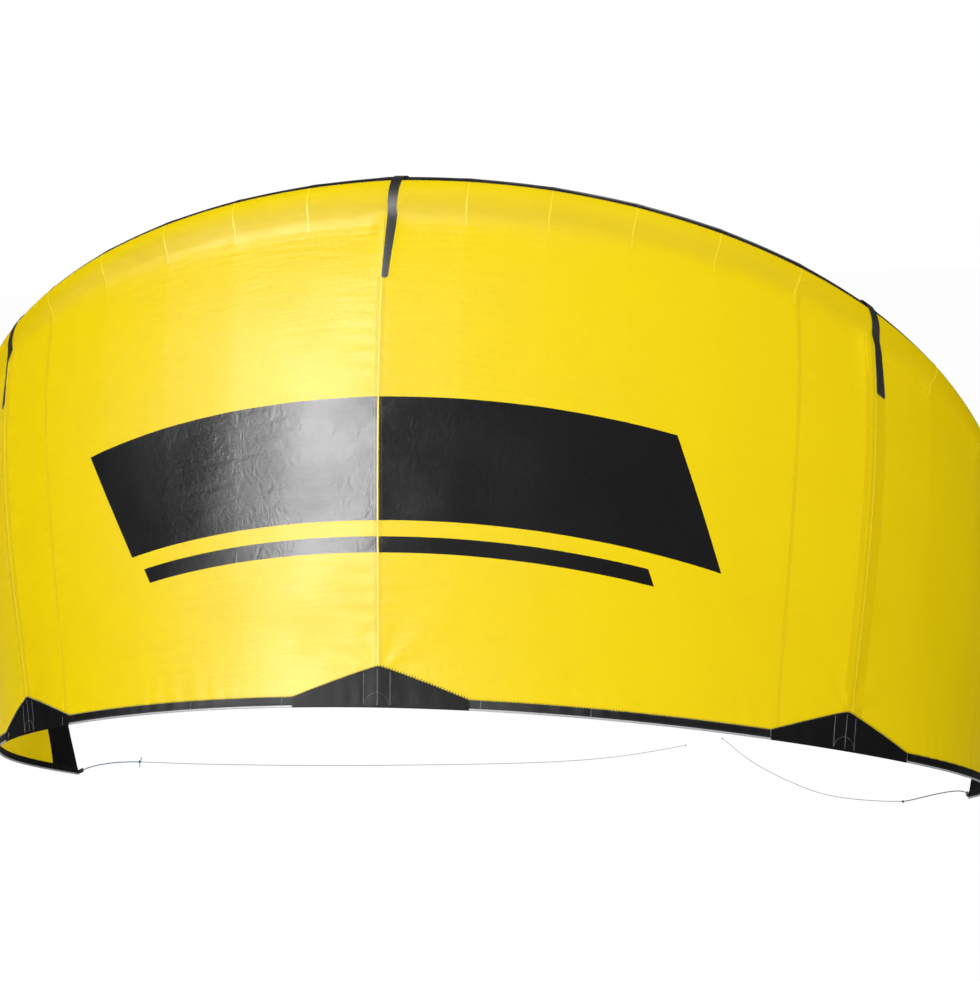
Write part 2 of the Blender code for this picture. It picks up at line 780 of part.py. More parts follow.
def strut_rings(u, shrink, rear_cut=0.0):
    spots = strut_stations(u)
    centres = [strut_centre(u, v) for v in spots]
    rings = []
    for k, v in enumerate(spots):
        along = (centres[min(k + 1, len(spots) - 1)] - centres[max(k - 1, 0)]).normalized()
        ring = strut_ring(u, v, shrink, along)
        if k == len(spots) - 1 and rear_cut:
            ring = [point - along * rear_cut for point in ring]
        rings.append(ring)
    return rings


def run_to_tube(point, direction, gap):
    """Move a point along a direction until it lies a gap outside the leading edge tube."""
    low, high = 0.0, (point - strut_stop(point)).length
    for _ in range(HALVINGS):
        middle = (low + high) / 2
        if tube_clearance(point + direction * middle) > gap:
            low = middle
        else:
            high = middle
    return point + direction * low


def strut_stop(point):
    """The nearest seam's axis point, which is always inside the tube."""
    return min((le_axis(seam) for seam in ALL_SEAMS), key=lambda centre: (centre - point).length)


def make_strut(word, middle):
    u = column(middle)
    skins = []
    for shrink in (0.0, CASING_WALL):
        rings = strut_rings(u, shrink, shrink)
        along = (strut_centre(u, 0.0) - strut_centre(u, rows(u)[1])).normalized()
        mouth = [run_to_tube(point, along, STRUT_LE_GAP) for point in rings[0]]
        skins.append([mouth] + rings)
    casing = shell(f"{word}_strut_casing", skins[0], skins[1], DACRON, closed_end=True)
    skins = []
    first, second = [strut_centre(u, v) for v in strut_stations(u)[:2]]
    for wall in (0.0, BLADDER_WALL):
        shrink = CASING_WALL + BLADDER_GAP + wall
        rings = strut_rings(u, shrink, shrink)
        pull = (second - first).normalized() * wall
        rings[0] = [point + pull for point in rings[0]]
        skins.append(rings)
    bladder = shell(f"{word}_strut_bladder", skins[0], skins[1], BLADDER, True, True)
    return casing, bladder


def facet_frame(corners, along, share, lift, axis_point):
    """A local frame on a facet of a tube: Z out, X as near as can be to the direction along."""
    near_low, near_high, far_high, far_low = corners
    low = near_low.lerp(far_low, share)
    high = near_high.lerp(far_high, share)
    outward = (high - low).cross(far_low - near_low).normalized()
    if outward.dot(near_low - axis_point) < 0:
        outward = -outward
    centre = (low + high) / 2
    x_axis = (along - outward * along.dot(outward)).normalized()
    return local_frame(centre + outward * lift, x_axis, outward)


def local_frame(origin, x_axis, z_axis):
    y_axis = z_axis.cross(x_axis)
    return Matrix((
        (x_axis.x, y_axis.x, z_axis.x, origin.x),
        (x_axis.y, y_axis.y, z_axis.y, origin.y),
        (x_axis.z, y_axis.z, z_axis.z, origin.z),
        (0.0, 0.0, 0.0, 1.0),
    ))


def tube_facet(section, facet, side, along, share=0.5, lift=0.0):
    """The frame on one facet of one sewn section of the leading edge; sections count from the middle."""
    low, high = side * LE_SEAMS[section], side * LE_SEAMS[section + 1]
    near, far = vertex_angle(facet), vertex_angle(facet + 1)
    corners = [ring_point(low, near, 0.0), ring_point(low, far, 0.0)]
    corners += [ring_point(high, far, 0.0), ring_point(high, near, 0.0)]
    return facet_frame(corners, along, share, lift, le_axis(low))


def strut_facet(u, facet, along, share=0.5, lift=0.0):
    near, far = strut_rings(u, 0.0)[:2]
    after = (facet + 1) % STRUT_SIDES
    corners = [near[facet], near[after], far[after], far[facet]]
    return facet_frame(corners, along, share, lift, strut_centre(u, strut_stations(u)[0]))


def drill(targets, name, frame, radius, depth):
    cutter = cylinder_mesh(name, radius, -depth, OVERRUN, frame, MOULDED, sides=VALVE_STEPS)
    for target in targets:
        boolean(target, cutter, "DIFFERENCE")


# Hinges

def add_ears(target, name, frame, x, z, foot, width):
    """Two ears with pin holes, rising from z = foot to the pin at (x, z)."""
    inner = width / 2 + EAR_GAP
    reach = PIN_RADIUS + EAR_RIM
    for way in (-1, 1):
        low = (x - reach, min(way * inner, way * (inner + EAR_THICKNESS)), foot)
        high = (x + reach, max(way * inner, way * (inner + EAR_THICKNESS)), z + reach)
        boolean(target, box_mesh(f"{name}_ear_{way}", low, high, frame, MOULDED), "UNION")
    reach_y = inner + EAR_THICKNESS + OVERRUN
    place = frame @ Matrix.Translation((x, 0, z))
    hole_radius = PIN_RADIUS + PIN_GAP
    hole = cylinder_mesh(f"{name}_pin_hole", hole_radius, -reach_y, reach_y, place, MOULDED, axis="Y")
    boolean(target, hole, "DIFFERENCE")


def add_axle(target, name, place, barrel_half, pin_half):
    """One barrel with its two stub pins, along the Y axis of a local frame."""
    profile = (
        (-pin_half, PIN_RADIUS), (-barrel_half, PIN_RADIUS), (-barrel_half, BARREL_RADIUS),
        (barrel_half, BARREL_RADIUS), (barrel_half, PIN_RADIUS), (pin_half, PIN_RADIUS),
    )
    angles = [2 * math.pi * k / PIN_SIDES for k in range(PIN_SIDES)]
    rings = [[place @ Vector((r * math.cos(a), y, r * math.sin(a))) for a in angles] for y, r in profile]
    boolean(target, loft(f"{name}_axle", rings, MOULDED), "UNION")


# Valves

def make_valve(name, frame, bore, casing, bladder):
    """A welded flange with a neck and a stem into the bladder, and its hinged cap."""
    stem = bore + VALVE_WALL
    flange = stem + VALVE_FLANGE_WIDTH
    top = VALVE_FLANGE_THICKNESS + VALVE_NECK_HEIGHT
    base = turned(f"{name}_base", [
        (stem, top), (stem, VALVE_FLANGE_THICKNESS), (flange, VALVE_FLANGE_THICKNESS), (flange, 0.0),
        (stem, 0.0), (stem, -VALVE_STEM_DEPTH), (bore, -VALVE_STEM_DEPTH), (bore, top),
    ], frame, MOULDED)
    rim = stem + CAP_OVERHANG
    under = top + SEAM_GAP
    plug = bore - PLUG_GAP
    cap = turned(f"{name}_cap", [
        (0.0, under + CAP_THICKNESS), (rim, under + CAP_THICKNESS), (rim, under), (plug, under),
        (plug - PLUG_TAPER, under - PLUG_DEPTH), (0.0, under - PLUG_DEPTH),
    ], frame, MOULDED)
    hinge_x = -(rim + BARREL_SETBACK)
    hinge_z = under + CAP_THICKNESS / 2
    add_ears(base, name, frame, hinge_x, hinge_z, VALVE_FLANGE_THICKNESS / 2, BARREL_LENGTH)
    lug_half = BARREL_LENGTH / 2 - LUG_INSET
    lug_low = (hinge_x, -lug_half, under + LUG_INSET)
    lug_high = (-bore, lug_half, under + CAP_THICKNESS - LUG_INSET)
    boolean(cap, box_mesh(f"{name}_lug", lug_low, lug_high, frame, MOULDED), "UNION")
    pin_half = BARREL_LENGTH / 2 + EAR_GAP + EAR_THICKNESS
    add_axle(cap, name, frame @ Matrix.Translation((hinge_x, 0, hinge_z)), BARREL_LENGTH / 2, pin_half)
    drill((casing, bladder), f"{name}_hole", frame, stem + VALVE_HOLE_GAP, VALVE_STEM_DEPTH)


def make_flap(frame):
    """The rubber flap that closes under the stem of the inflation valve."""
    radius = VALVE_BORE_RADIUS + FLAP_OVERLAP
    top = -VALVE_STEM_DEPTH - SEAM_GAP
    turned("inflation_valve_flap", [
        (0.0, top), (radius, top), (radius, top - FLAP_THICKNESS), (0.0, top - FLAP_THICKNESS),
    ], frame, HOSE)


def make_valves(casings):
    inflate = inflation_frame()
    make_valve("inflation_valve", inflate, VALVE_BORE_RADIUS, casings["left_bay"], casings["bladder"])
    make_flap(inflate)
    make_valve("dump_valve", dump_frame(), DUMP_BORE_RADIUS, casings["right_bay"], casings["bladder"])


def inflation_frame():
    return tube_facet(INFLATION_SECTION_INDEX, INNER_FACET_INDEX, -1, le_frame(0.0)[1], lift=VALVE_SEAT_GAP)


def dump_frame():
    return tube_facet(DUMP_SECTION_INDEX, INNER_FACET_INDEX, 1, le_frame(0.0)[1], lift=VALVE_SEAT_GAP)


# Hoses, elbows and clips

def elbow_step(distance):
    """Position and direction along the elbow's centre line, in its local frame."""
    bend = ELBOW_BEND_RADIUS
    if distance <= ELBOW_NECK_HEIGHT:
        return Vector((0, 0, distance)), Vector((0, 0, 1))
    angle = (distance - ELBOW_NECK_HEIGHT) / bend
    if angle < math.pi / 2:
        place = Vector((bend * (1 - math.cos(angle)), 0, ELBOW_NECK_HEIGHT + bend * math.sin(angle)))
        return place, Vector((math.sin(angle), 0, math.cos(angle)))
    run = distance - ELBOW_NECK_HEIGHT - bend * math.pi / 2
    return Vector((bend + run, 0, ELBOW_NECK_HEIGHT + bend)), Vector((1, 0, 0))


ELBOW_BEND_END = ELBOW_NECK_HEIGHT + ELBOW_BEND_RADIUS * math.pi / 2
ELBOW_NOZZLE_END = ELBOW_BEND_END + ELBOW_NOZZLE_LENGTH


def make_elbow(name, frame):
    stations = [
        (-ELBOW_STEM_DEPTH, ELBOW_STEM_RADIUS), (0.0, ELBOW_STEM_RADIUS), (0.0, ELBOW_FLANGE_RADIUS),
        (ELBOW_FLANGE_THICKNESS, ELBOW_FLANGE_RADIUS), (ELBOW_FLANGE_THICKNESS, ELBOW_NECK_RADIUS),
        (ELBOW_NECK_HEIGHT, ELBOW_NECK_RADIUS), ((ELBOW_NECK_HEIGHT + ELBOW_BEND_END) / 2, ELBOW_NECK_RADIUS),
        (ELBOW_BEND_END, ELBOW_NECK_RADIUS), (ELBOW_BEND_END, ELBOW_NOZZLE_RADIUS),
        (ELBOW_NOZZLE_END, ELBOW_NOZZLE_RADIUS),
    ]
    bores = [stations[k] for k in (0, 5, 6, 7, 9)]
    outer = [elbow_ring(frame, distance, radius) for distance, radius in stations]
    inner = [elbow_ring(frame, distance, ELBOW_BORE_RADIUS) for distance, _ in bores]
    loft(name, outer + inner[::-1], MOULDED, cyclic=True)


def elbow_ring(frame, distance, radius):
    centre, along = elbow_step(distance)
    return [frame @ point for point in round_ring(centre, along, Vector((0, 1, 0)), radius)]


def round_ring(centre, along, across, radius):
    """A ring round a line at one point, starting on the side that across points to."""
    third = along.cross(across)
    angles = [2 * math.pi * k / ELBOW_SIDES for k in range(ELBOW_SIDES)]
    return [centre + across * (radius * math.cos(a)) + third * (radius * math.sin(a)) for a in angles]


def hose_frames(middle):
    """Frames of the two elbows of one strut: on the leading edge and on the strut's side."""
    u = column(middle)
    side = -1 if middle < 0 else 1
    section = 0 if middle == 0 else LE_BAY_SECTIONS - 1
    share = MIDDLE_HOSE_SHARE if middle == 0 else OUTER_HOSE_SHARE
    rough = tube_facet(section, HOSE_FACET_INDEX, side, le_frame(0.0)[1], share)
    inward_side = 1 if middle == 0 else -side
    flanks = (STRUT_SIDES * 3 // 4 - 1, STRUT_SIDES // 4)
    candidates = [strut_facet(u, k, le_frame(0.0)[1], STRUT_HOSE_SHARE) for k in flanks]
    target = max(candidates, key=lambda frame: frame.col[2][0] * inward_side)
    index = flanks[candidates.index(target)]
    to_strut = Vector(target.col[3][:3]) - Vector(rough.col[3][:3])
    first = tube_facet(section, HOSE_FACET_INDEX, side, to_strut, share, OVERLAY_GAP)
    second = strut_facet(u, index, -to_strut, STRUT_HOSE_SHARE, OVERLAY_GAP)
    return first, second


def bezier(points, share):
    a, b, c, d = points
    rest = 1 - share
    return a * rest**3 + b * (3 * rest**2 * share) + c * (3 * rest * share**2) + d * share**3


def hose_line(first, second):
    """Four control points of the free stretch of the hose between two nozzles."""
    reach = ELBOW_BEND_RADIUS + ELBOW_NOZZLE_LENGTH
    height = ELBOW_NECK_HEIGHT + ELBOW_BEND_RADIUS
    start, end = first @ Vector((reach, 0, height)), second @ Vector((reach, 0, height))
    pull = (end - start).length * HOSE_SLACK_SHARE
    return (start, start + Vector(first.col[0][:3]) * pull, end + Vector(second.col[0][:3]) * pull, end)


def make_hose(name, line):
    """A hose with a bore, whose straight ends slip over the two nozzles."""
    centres = [bezier(line, k / HOSE_STEPS) for k in range(HOSE_STEPS + 1)]
    ends = [(line[1] - line[0]).normalized(), (line[3] - line[2]).normalized()]
    centres = [line[0] - ends[0] * HOSE_OVER_NOZZLE] + centres + [line[3] + ends[1] * HOSE_OVER_NOZZLE]
    directions = [ends[0], ends[0]]
    directions += [(b - a).normalized() for a, b in zip(centres[1:-3], centres[3:-1])]
    directions += [ends[1], ends[1]]
    across = directions[0].orthogonal().normalized()
    skins = [[], []]
    for centre, along in zip(centres, directions):
        across = (across - along * across.dot(along)).normalized()
        for skin, radius in zip(skins, (HOSE_RADIUS, HOSE_BORE_RADIUS)):
            skin.append(round_ring(centre, along, across, radius))
    shell(name, skins[0], skins[1], HOSE)


def clip_frame(line, away):
    low, high = bezier(line, 0.5 - PROBE), bezier(line, 0.5 + PROBE)
    along = (high - low).normalized()
    lift = (away - along * away.dot(along)).normalized()
    return local_frame(bezier(line, 0.5), along, lift)


CLIP_INNER = HOSE_RADIUS + CLIP_GAP
LEVER_LOW = HOSE_RADIUS + LEVER_LIFT
CLIP_PIN_X = -CLIP_LENGTH / 2 + PIN_RADIUS + EAR_RIM
CLIP_PIN_Z = LEVER_LOW + LEVER_THICKNESS / 2


def make_clip(name, frame):
    """A clip round the hose: a channel with pin ears and a hinged lever with a pinching nose."""
    half = CLIP_LENGTH / 2
    outer = CLIP_INNER + CLIP_WALL
    rim = CLIP_PIN_Z + PIN_RADIUS + EAR_RIM
    channel = [
        (-outer, -outer), (outer, -outer), (outer, rim), (CLIP_INNER, rim),
        (CLIP_INNER, -CLIP_INNER), (-CLIP_INNER, -CLIP_INNER), (-CLIP_INNER, rim), (-outer, rim),
    ]
    rings = [[frame @ Vector((x, y, z)) for y, z in channel] for x in (-half, half)]
    body = loft(f"{name}_body", rings, MOULDED)
    reach = outer + OVERRUN
    place = frame @ Matrix.Translation((CLIP_PIN_X, 0, CLIP_PIN_Z))
    hole = cylinder_mesh(f"{name}_pin_hole", PIN_RADIUS + PIN_GAP, -reach, reach, place, MOULDED, axis="Y")
    boolean(body, hole, "DIFFERENCE")
    width = CLIP_INNER - EAR_GAP
    nose = CLIP_NOSE_WIDTH / 2
    side = [
        (CLIP_PIN_X, LEVER_LOW), (-nose, LEVER_LOW), (-nose / 2, HOSE_RADIUS + SEAM_GAP),
        (nose / 2, HOSE_RADIUS + SEAM_GAP), (nose, LEVER_LOW), (half, LEVER_LOW),
        (half + LEVER_THICKNESS, LEVER_LOW + LEVER_THICKNESS / 2), (half, LEVER_LOW + LEVER_THICKNESS),
        (CLIP_PIN_X, LEVER_LOW + LEVER_THICKNESS),
    ]
    rings = [[frame @ Vector((x, y, z)) for x, z in side] for y in (-width, width)]
    lever = loft(f"{name}_lever", rings, MOULDED)
    add_axle(lever, name, place, width - LUG_INSET, outer)


def make_air_lines(casings, struts):
    homes = {"left": "left_bay", "middle": "right_bay", "right": "right_bay"}
    for word, middle in strut_columns():
        first, second = hose_frames(middle)
        make_elbow(f"{word}_tube_elbow", first)
        make_elbow(f"{word}_strut_elbow", second)
        radius = ELBOW_STEM_RADIUS + VALVE_HOLE_GAP / 2
        walls = (casings[homes[word]], casings["bladder"])
        drill(walls, f"{word}_tube_hole", first, radius, ELBOW_STEM_DEPTH)
        drill(struts[word], f"{word}_strut_hole", second, radius, ELBOW_STEM_DEPTH)
        line = hose_line(first, second)
        make_hose(f"{word}_hose", line)
        make_clip(f"{word}_hose_clip", clip_frame(line, Vector(first.col[2][:3])))


# Webbing

def make_bridle_tab(name, frame):
    """A sewn base with a standing loop, whose eye takes a bridle line."""
    foot = TAB_BASE_THICKNESS / 2
    half = TAB_WIDTH / 2
    eye = TAB_HEIGHT - half
    corner = math.atan2(eye - foot, half)
    arch, under = math.pi + 2 * corner, math.pi - 2 * corner
    upper = [-corner + arch * k / TAB_ARCH_STEPS for k in range(TAB_ARCH_STEPS + 1)]
    lower = [math.pi + corner + under * k / TAB_FOOT_STEPS for k in range(1, TAB_FOOT_STEPS)]
    rings = []
    for angle in upper + lower:
        way = Vector((math.cos(angle), 0, math.sin(angle)))
        reach = half if way.z >= 0 else min(half / max(abs(way.x), MERGE), (eye - foot) / abs(way.z))
        ring = []
        for distance, y in ((reach, 1), (TAB_EYE_RADIUS, 1), (TAB_EYE_RADIUS, -1), (reach, -1)):
            ring.append(frame @ (way * distance + Vector((0, y * TAB_STRAP_WIDTH / 2, eye))))
        rings.append(ring)
    lug = loft(name, rings, WEBBING, cyclic=True)
    low = (-TAB_BASE_LENGTH / 2, -TAB_BASE_WIDTH / 2, 0.0)
    high = (TAB_BASE_LENGTH / 2, TAB_BASE_WIDTH / 2, TAB_BASE_THICKNESS)
    boolean(lug, box_mesh(f"{name}_foot", low, high, frame, WEBBING), "UNION")


def tab_frame(section, side):
    along = le_frame(side * LE_MIDDLES[section])[1]
    return tube_facet(section, TAB_FACET_INDEX, side, along, lift=VALVE_SEAT_GAP)


def tab_sections():
    return (("inner", INNER_TAB_SECTION_INDEX), ("outer", OUTER_TAB_SECTION_INDEX))


def rear_frame(side):
    """Local frame at a tip's rear corner: X runs on past the tip's edge, Z out of the canopy."""
    end = surface(side * 1.0, 1.0)
    down = (end - surface(side * 1.0, rows(1.0)[HEM_ROW])).normalized()
    outward = normal(side * 1.0, 1.0)
    outward = (outward - down * outward.dot(down)).normalized()
    along = down.cross(outward)
    if along.dot(end - surface(side * COLUMNS[-2], 1.0)) < 0:
        along = -along
    return local_frame(end + along * SEAT_GAP - down * (REAR_TAB_WIDTH / 2), along, outward)


def make_tabs():
    for side, word in ((-1, "left"), (1, "right")):
        for place, section in tab_sections():
            make_bridle_tab(f"{word}_{place}_bridle_tab", tab_frame(section, side))
        low = (0.0, -REAR_TAB_WIDTH / 2, -REAR_TAB_THICKNESS / 2)
        high = (REAR_TAB_LENGTH, REAR_TAB_WIDTH / 2, REAR_TAB_THICKNESS / 2)
        tab = box_mesh(f"{word}_rear_tab", low, high, rear_frame(side), WEBBING)
        edge = tab.modifiers.new("edge", "BEVEL")
        edge.width = REAR_TAB_BEVEL
        edge.segments = 1


def strut_underside(u, v):
    """A point of the faceted strut's innermost line, and the inward direction there."""
    spots = strut_stations(u)
    lines = [ring[STRUT_SIDES // 2] for ring in strut_rings(u, 0.0)]
    after = max(next(k for k, spot in enumerate(spots) if spot >= v), 1)
    mix = (v - spots[after - 1]) / (spots[after] - spots[after - 1])
    return lines[after - 1].lerp(lines[after], mix), -normal(u, v)


def make_handle():
    """A webbing grip that arches over the inner side of the middle strut."""
    line = []
    for k in range(HANDLE_STEPS + 1):
        share = k / HANDLE_STEPS
        v = HANDLE_START_SHARE + (HANDLE_END_SHARE - HANDLE_START_SHARE) * share
        base, inward = strut_underside(0.0, v)
        rise = (share - HANDLE_FOOT_SHARE) / (1 - 2 * HANDLE_FOOT_SHARE)
        height = HANDLE_HEIGHT * (1 - (2 * rise - 1) ** 4) if 0 < rise < 1 else 0.0
        line.append((base + inward * (height + OVERLAY_GAP), inward))
    rings = []
    for k, (point, inward) in enumerate(line):
        along = (line[min(k + 1, HANDLE_STEPS)][0] - line[max(k - 1, 0)][0]).normalized()
        across = Vector((HANDLE_WIDTH / 2, 0, 0))
        thick = (inward - along * inward.dot(along)).normalized() * HANDLE_THICKNESS
        rings.append([point - across, point + across, point + across + thick, point - across + thick])
    loft("strut_handle", rings, WEBBING)


# Rear lines

def smooth_route(points, count):
    """A Catmull-Rom curve through the route's points, read at even steps of its parameter."""
    known = [Vector(point) for point in points]
    known = [2 * known[0] - known[1]] + known + [2 * known[-1] - known[-2]]
    made = []
    for k in range(count):
        place = (len(known) - 3) * k / (count - 1)
        index = min(int(place), len(known) - 4)
        t = place - index
        a, b, c, d = known[index:index + 4]
        bend = (a * 2 - b * 5 + c * 4 - d) * t**2
        twist = (b * 3 - a - c * 3 + d) * t**3
        made.append((b * 2 + (c - a) * t + bend + twist) / 2)
    return made


def make_cord(name, points, diameter, knot_at, finish):
    curve = bpy.data.curves.new(name, "CURVE")
    curve.dimensions = "3D"
    curve.bevel_depth = diameter / 2
    curve.bevel_resolution = 2
    curve.use_fill_caps = True
    spline = curve.splines.new("POLY")
    spline.points.add(len(points) - 1)
    for k, point in enumerate(points):
        spline.points[k].co = (*point, 1.0)
        spline.points[k].radius = KNOT_SWELL_SHARE if k in knot_at else 1.0
    return add_object(name, curve, finish)


def make_rear_lines():
    sides = ((-1, "left", LEFT_ROUTE, BLUE_LINE), (1, "right", RIGHT_ROUTE, GREY_LINE))
    for side, word, route, finish in sides:
        frame = rear_frame(side)
        start = frame @ Vector((REAR_TAB_LENGTH + SEAM_GAP, 0, 0))
        knot = Vector(route[0])
        onward = (Vector(route[1]) - knot).normalized()
        leads = (Vector(frame.col[0][:3]) * PIGTAIL_LEAD, onward * -PIGTAIL_LEAD)
        path = (start, start + leads[0], knot + leads[1], knot)
        pigtail = [bezier(path, k / (PIGTAIL_POINTS - 1)) for k in range(PIGTAIL_POINTS)]
        last = PIGTAIL_POINTS - 1
        make_cord(f"{word}_pigtail", pigtail, PIGTAIL_DIAMETER, (last - 1, last - 2), finish)
        line = smooth_route(route, LINE_POINTS)
        line[0] = line[0] + (line[1] - line[0]).normalized() * LINE_START_GAP
        make_cord(f"{word}_rear_line", line, LINE_DIAMETER, (LINE_POINTS - 2,), finish)


def main():
    clear_scene()
    make_canopy()
    make_hem()
    make_patches()
    make_darts()
    casings = make_leading_edge()
    struts = {word: make_strut(word, middle) for word, middle in strut_columns()}
    make_valves(casings)
    make_air_lines(casings, struts)
    make_tabs()
    make_handle()
    make_rear_lines()


if __name__ == "__main__":
    main()
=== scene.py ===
"""Kitesurfing kite: the looks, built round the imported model."""
import math

import bpy
import numpy as np
from mathutils import Matrix, Vector


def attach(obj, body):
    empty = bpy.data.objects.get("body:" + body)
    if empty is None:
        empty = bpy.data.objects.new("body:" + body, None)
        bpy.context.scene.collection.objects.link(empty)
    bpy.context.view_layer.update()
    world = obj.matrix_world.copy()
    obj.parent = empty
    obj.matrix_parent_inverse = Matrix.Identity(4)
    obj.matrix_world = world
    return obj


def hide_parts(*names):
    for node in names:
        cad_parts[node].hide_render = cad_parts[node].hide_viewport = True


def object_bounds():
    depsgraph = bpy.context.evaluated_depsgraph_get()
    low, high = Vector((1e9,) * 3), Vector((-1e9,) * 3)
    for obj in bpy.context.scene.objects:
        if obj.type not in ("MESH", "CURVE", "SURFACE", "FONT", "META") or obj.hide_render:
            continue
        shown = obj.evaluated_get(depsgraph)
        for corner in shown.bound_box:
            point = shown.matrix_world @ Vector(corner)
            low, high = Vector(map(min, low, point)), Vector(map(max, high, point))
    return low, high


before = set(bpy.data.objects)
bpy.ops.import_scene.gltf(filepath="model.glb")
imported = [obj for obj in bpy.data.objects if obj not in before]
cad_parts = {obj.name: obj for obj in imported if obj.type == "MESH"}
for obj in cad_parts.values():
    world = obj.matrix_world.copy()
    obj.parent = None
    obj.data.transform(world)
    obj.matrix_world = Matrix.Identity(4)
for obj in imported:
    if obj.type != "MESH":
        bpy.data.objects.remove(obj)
bpy.ops.object.select_all(action="DESELECT")
CAD_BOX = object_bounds()
KITE = "kite"

# Driving dimensions of the arc, in metres and radians, as the part has them
LE_PLAN_HALF, LE_TURN, LE_TURN_LATE_SHARE = 2.783, math.radians(116.1), 0.705
LE_DROP, LE_DROP_LATE_SHARE = 2.008, 0.3875
LE_RADIUS_CENTRE, LE_RADIUS_TIP = 0.100, 0.045
TE_PLAN_HALF, TE_TURN, TE_TURN_LATE_SHARE = 3.069, math.radians(107.4), 0.3224
TE_DROP, TE_DROP_LATE_SHARE, TE_BELOW, TE_OUT = 0.904, -0.259, 1.520, 0.493
STRUT_TE_SHARE, STRUT_LE_SHARE = 0.5, 0.55
BAY_SECTIONS, TIP_SECTIONS = 6, 5
CAMBER_SHARE, CAMBER_TAIL, BAY_FLATTENING = 0.034, 1.6, 0.018
ATTACH_ANGLE = math.radians(22.5)
CANOPY_SEAT = 0.0024
DART_ROW_SHARE = 0.095
PATCH_HEIGHT, HEM_WIDTH = 0.125, 0.030
STRUT_RADIUS_FRONT, STRUT_RADIUS_REAR = 0.055, 0.028
STRUT_SEAT = 0.0014
STRUT_TUBE_GAP = 0.0013
STRUT_END_SHARE = 0.6
TUBE_END_LENGTH = 0.030
FINE_STEPS = 400
PROBE = 1e-3
SEWN_GAP = 0.0003

# Thicknesses and heights of the sewn layers over the canopy's middle surface
CLOTH = 0.0008
TAPE_LOW, TAPE_THICK, DART_THICK = 0.0004, 0.0002, 0.0008
HEM_LOW, HEM_THICK = 0.0008, 0.0009
PATCH_LOW, PATCH_THICK = 0.0013, 0.0008
BINDING_THICK, LAYER_GAP = 0.0005, 0.0001
PATCH_OVER_HEM = HEM_LOW + HEM_THICK + LAYER_GAP + PATCH_THICK / 2


# The air pushes the tight outer side of each section of the tube out between its seams
BULGE, BULGE_MIDDLE, BULGE_POWER = 0.9, math.radians(-35), 1.5

# The four bays from tip to tip, and the struts between them


def four_spans(inner, end):
    """The lengths of an edge between tips and struts: name, first and last share."""
    left = (("left_tip", -end, -inner), ("left_bay", -inner, 0.0))
    return (*left, ("right_bay", 0.0, inner), ("right_tip", inner, end))


STRUT_WORDS = (("left", -STRUT_TE_SHARE), ("middle", 0.0), ("right", STRUT_TE_SHARE))
SIDES = ((-1, "left"), (1, "right"))


# The arc

def plan(half, turn, late_share):
    """Half an edge seen from above, whose heading turns away from the span."""
    share = np.linspace(0.0, 1.0, FINE_STEPS + 1)
    heading = turn * ((1 - late_share) * share + late_share * share**3)
    middle = (heading[1:] + heading[:-1]) / 2
    step = half / FINE_STEPS
    along = np.concatenate([[0.0], np.cumsum(np.cos(middle)) * step])
    away = np.concatenate([[0.0], np.cumsum(np.sin(middle)) * step])
    return share, along, away


LE_PLAN = plan(LE_PLAN_HALF, LE_TURN, LE_TURN_LATE_SHARE)
TE_PLAN = plan(TE_PLAN_HALF, TE_TURN, TE_TURN_LATE_SHARE)
LE_LEAD_SHARE = 4 * (STRUT_LE_SHARE - STRUT_TE_SHARE)
U_TABLE = np.linspace(0.0, 1.0, FINE_STEPS + 1)
LE_TABLE = U_TABLE + LE_LEAD_SHARE * U_TABLE * (1 - U_TABLE)
LE_SEAMS = [STRUT_LE_SHARE * k / BAY_SECTIONS for k in range(BAY_SECTIONS)]
LE_SEAMS += [STRUT_LE_SHARE + (1 - STRUT_LE_SHARE) * k / TIP_SECTIONS for k in range(TIP_SECTIONS + 1)]
LE_SEAMS = np.array(LE_SEAMS)
PANEL_SHARE = float(np.interp((LE_SEAMS[-1] + LE_SEAMS[-2]) / 2, LE_TABLE, U_TABLE))


def unit(vectors):
    return vectors / np.linalg.norm(vectors, axis=-1, keepdims=True)


def dot(a, b):
    return np.sum(a * b, axis=-1, keepdims=True)


def distances(points):
    """Distance along a line of points from its first."""
    return np.concatenate([[0.0], np.cumsum(np.linalg.norm(np.diff(points, axis=0), axis=1))])


def edge_points(curve, share, drop, late_share, low, out):
    size = np.minimum(np.abs(share), 1.0)
    fall = drop * ((1 - late_share) * size**2 + late_share * size**4)
    along = np.interp(size, curve[0], curve[1]) * np.sign(share)
    away = np.interp(size, curve[0], curve[2])
    return np.stack([along, away - out, -fall - low], -1)


def tube_axis(share):
    return edge_points(LE_PLAN, share, LE_DROP, LE_DROP_LATE_SHARE, 0.0, 0.0)


def trailing_points(u):
    return edge_points(TE_PLAN, u, TE_DROP, TE_DROP_LATE_SHARE, TE_BELOW, TE_OUT)


def le_share(u):
    size = np.abs(u)
    return np.sign(u) * (size + LE_LEAD_SHARE * size * (1 - size))


def te_share(share):
    return np.interp(np.abs(share), LE_TABLE, U_TABLE) * np.sign(share)


def tube_radius(share):
    return LE_RADIUS_CENTRE + (LE_RADIUS_TIP - LE_RADIUS_CENTRE) * np.abs(share)


def tube_frames(share):
    """Axis point, tangent along +X, chordwise direction to the front, outward direction."""
    share = np.asarray(share, float)
    centre = tube_axis(share)
    ahead, behind = np.minimum(share + PROBE, 1.0), np.maximum(share - PROBE, -1.0)
    tangent = unit(tube_axis(ahead) - tube_axis(behind))
    chord = centre - trailing_points(te_share(share))
    front = unit(chord - tangent * dot(chord, tangent))
    return centre, tangent, front, unit(np.cross(tangent, front))


def ring_points(share, angle, clearance):
    centre, _, front, outward = tube_frames(share)
    reach = tube_radius(share) + clearance
    return centre + outward * (reach * np.cos(angle))[..., None] - front * (reach * np.sin(angle))[..., None]


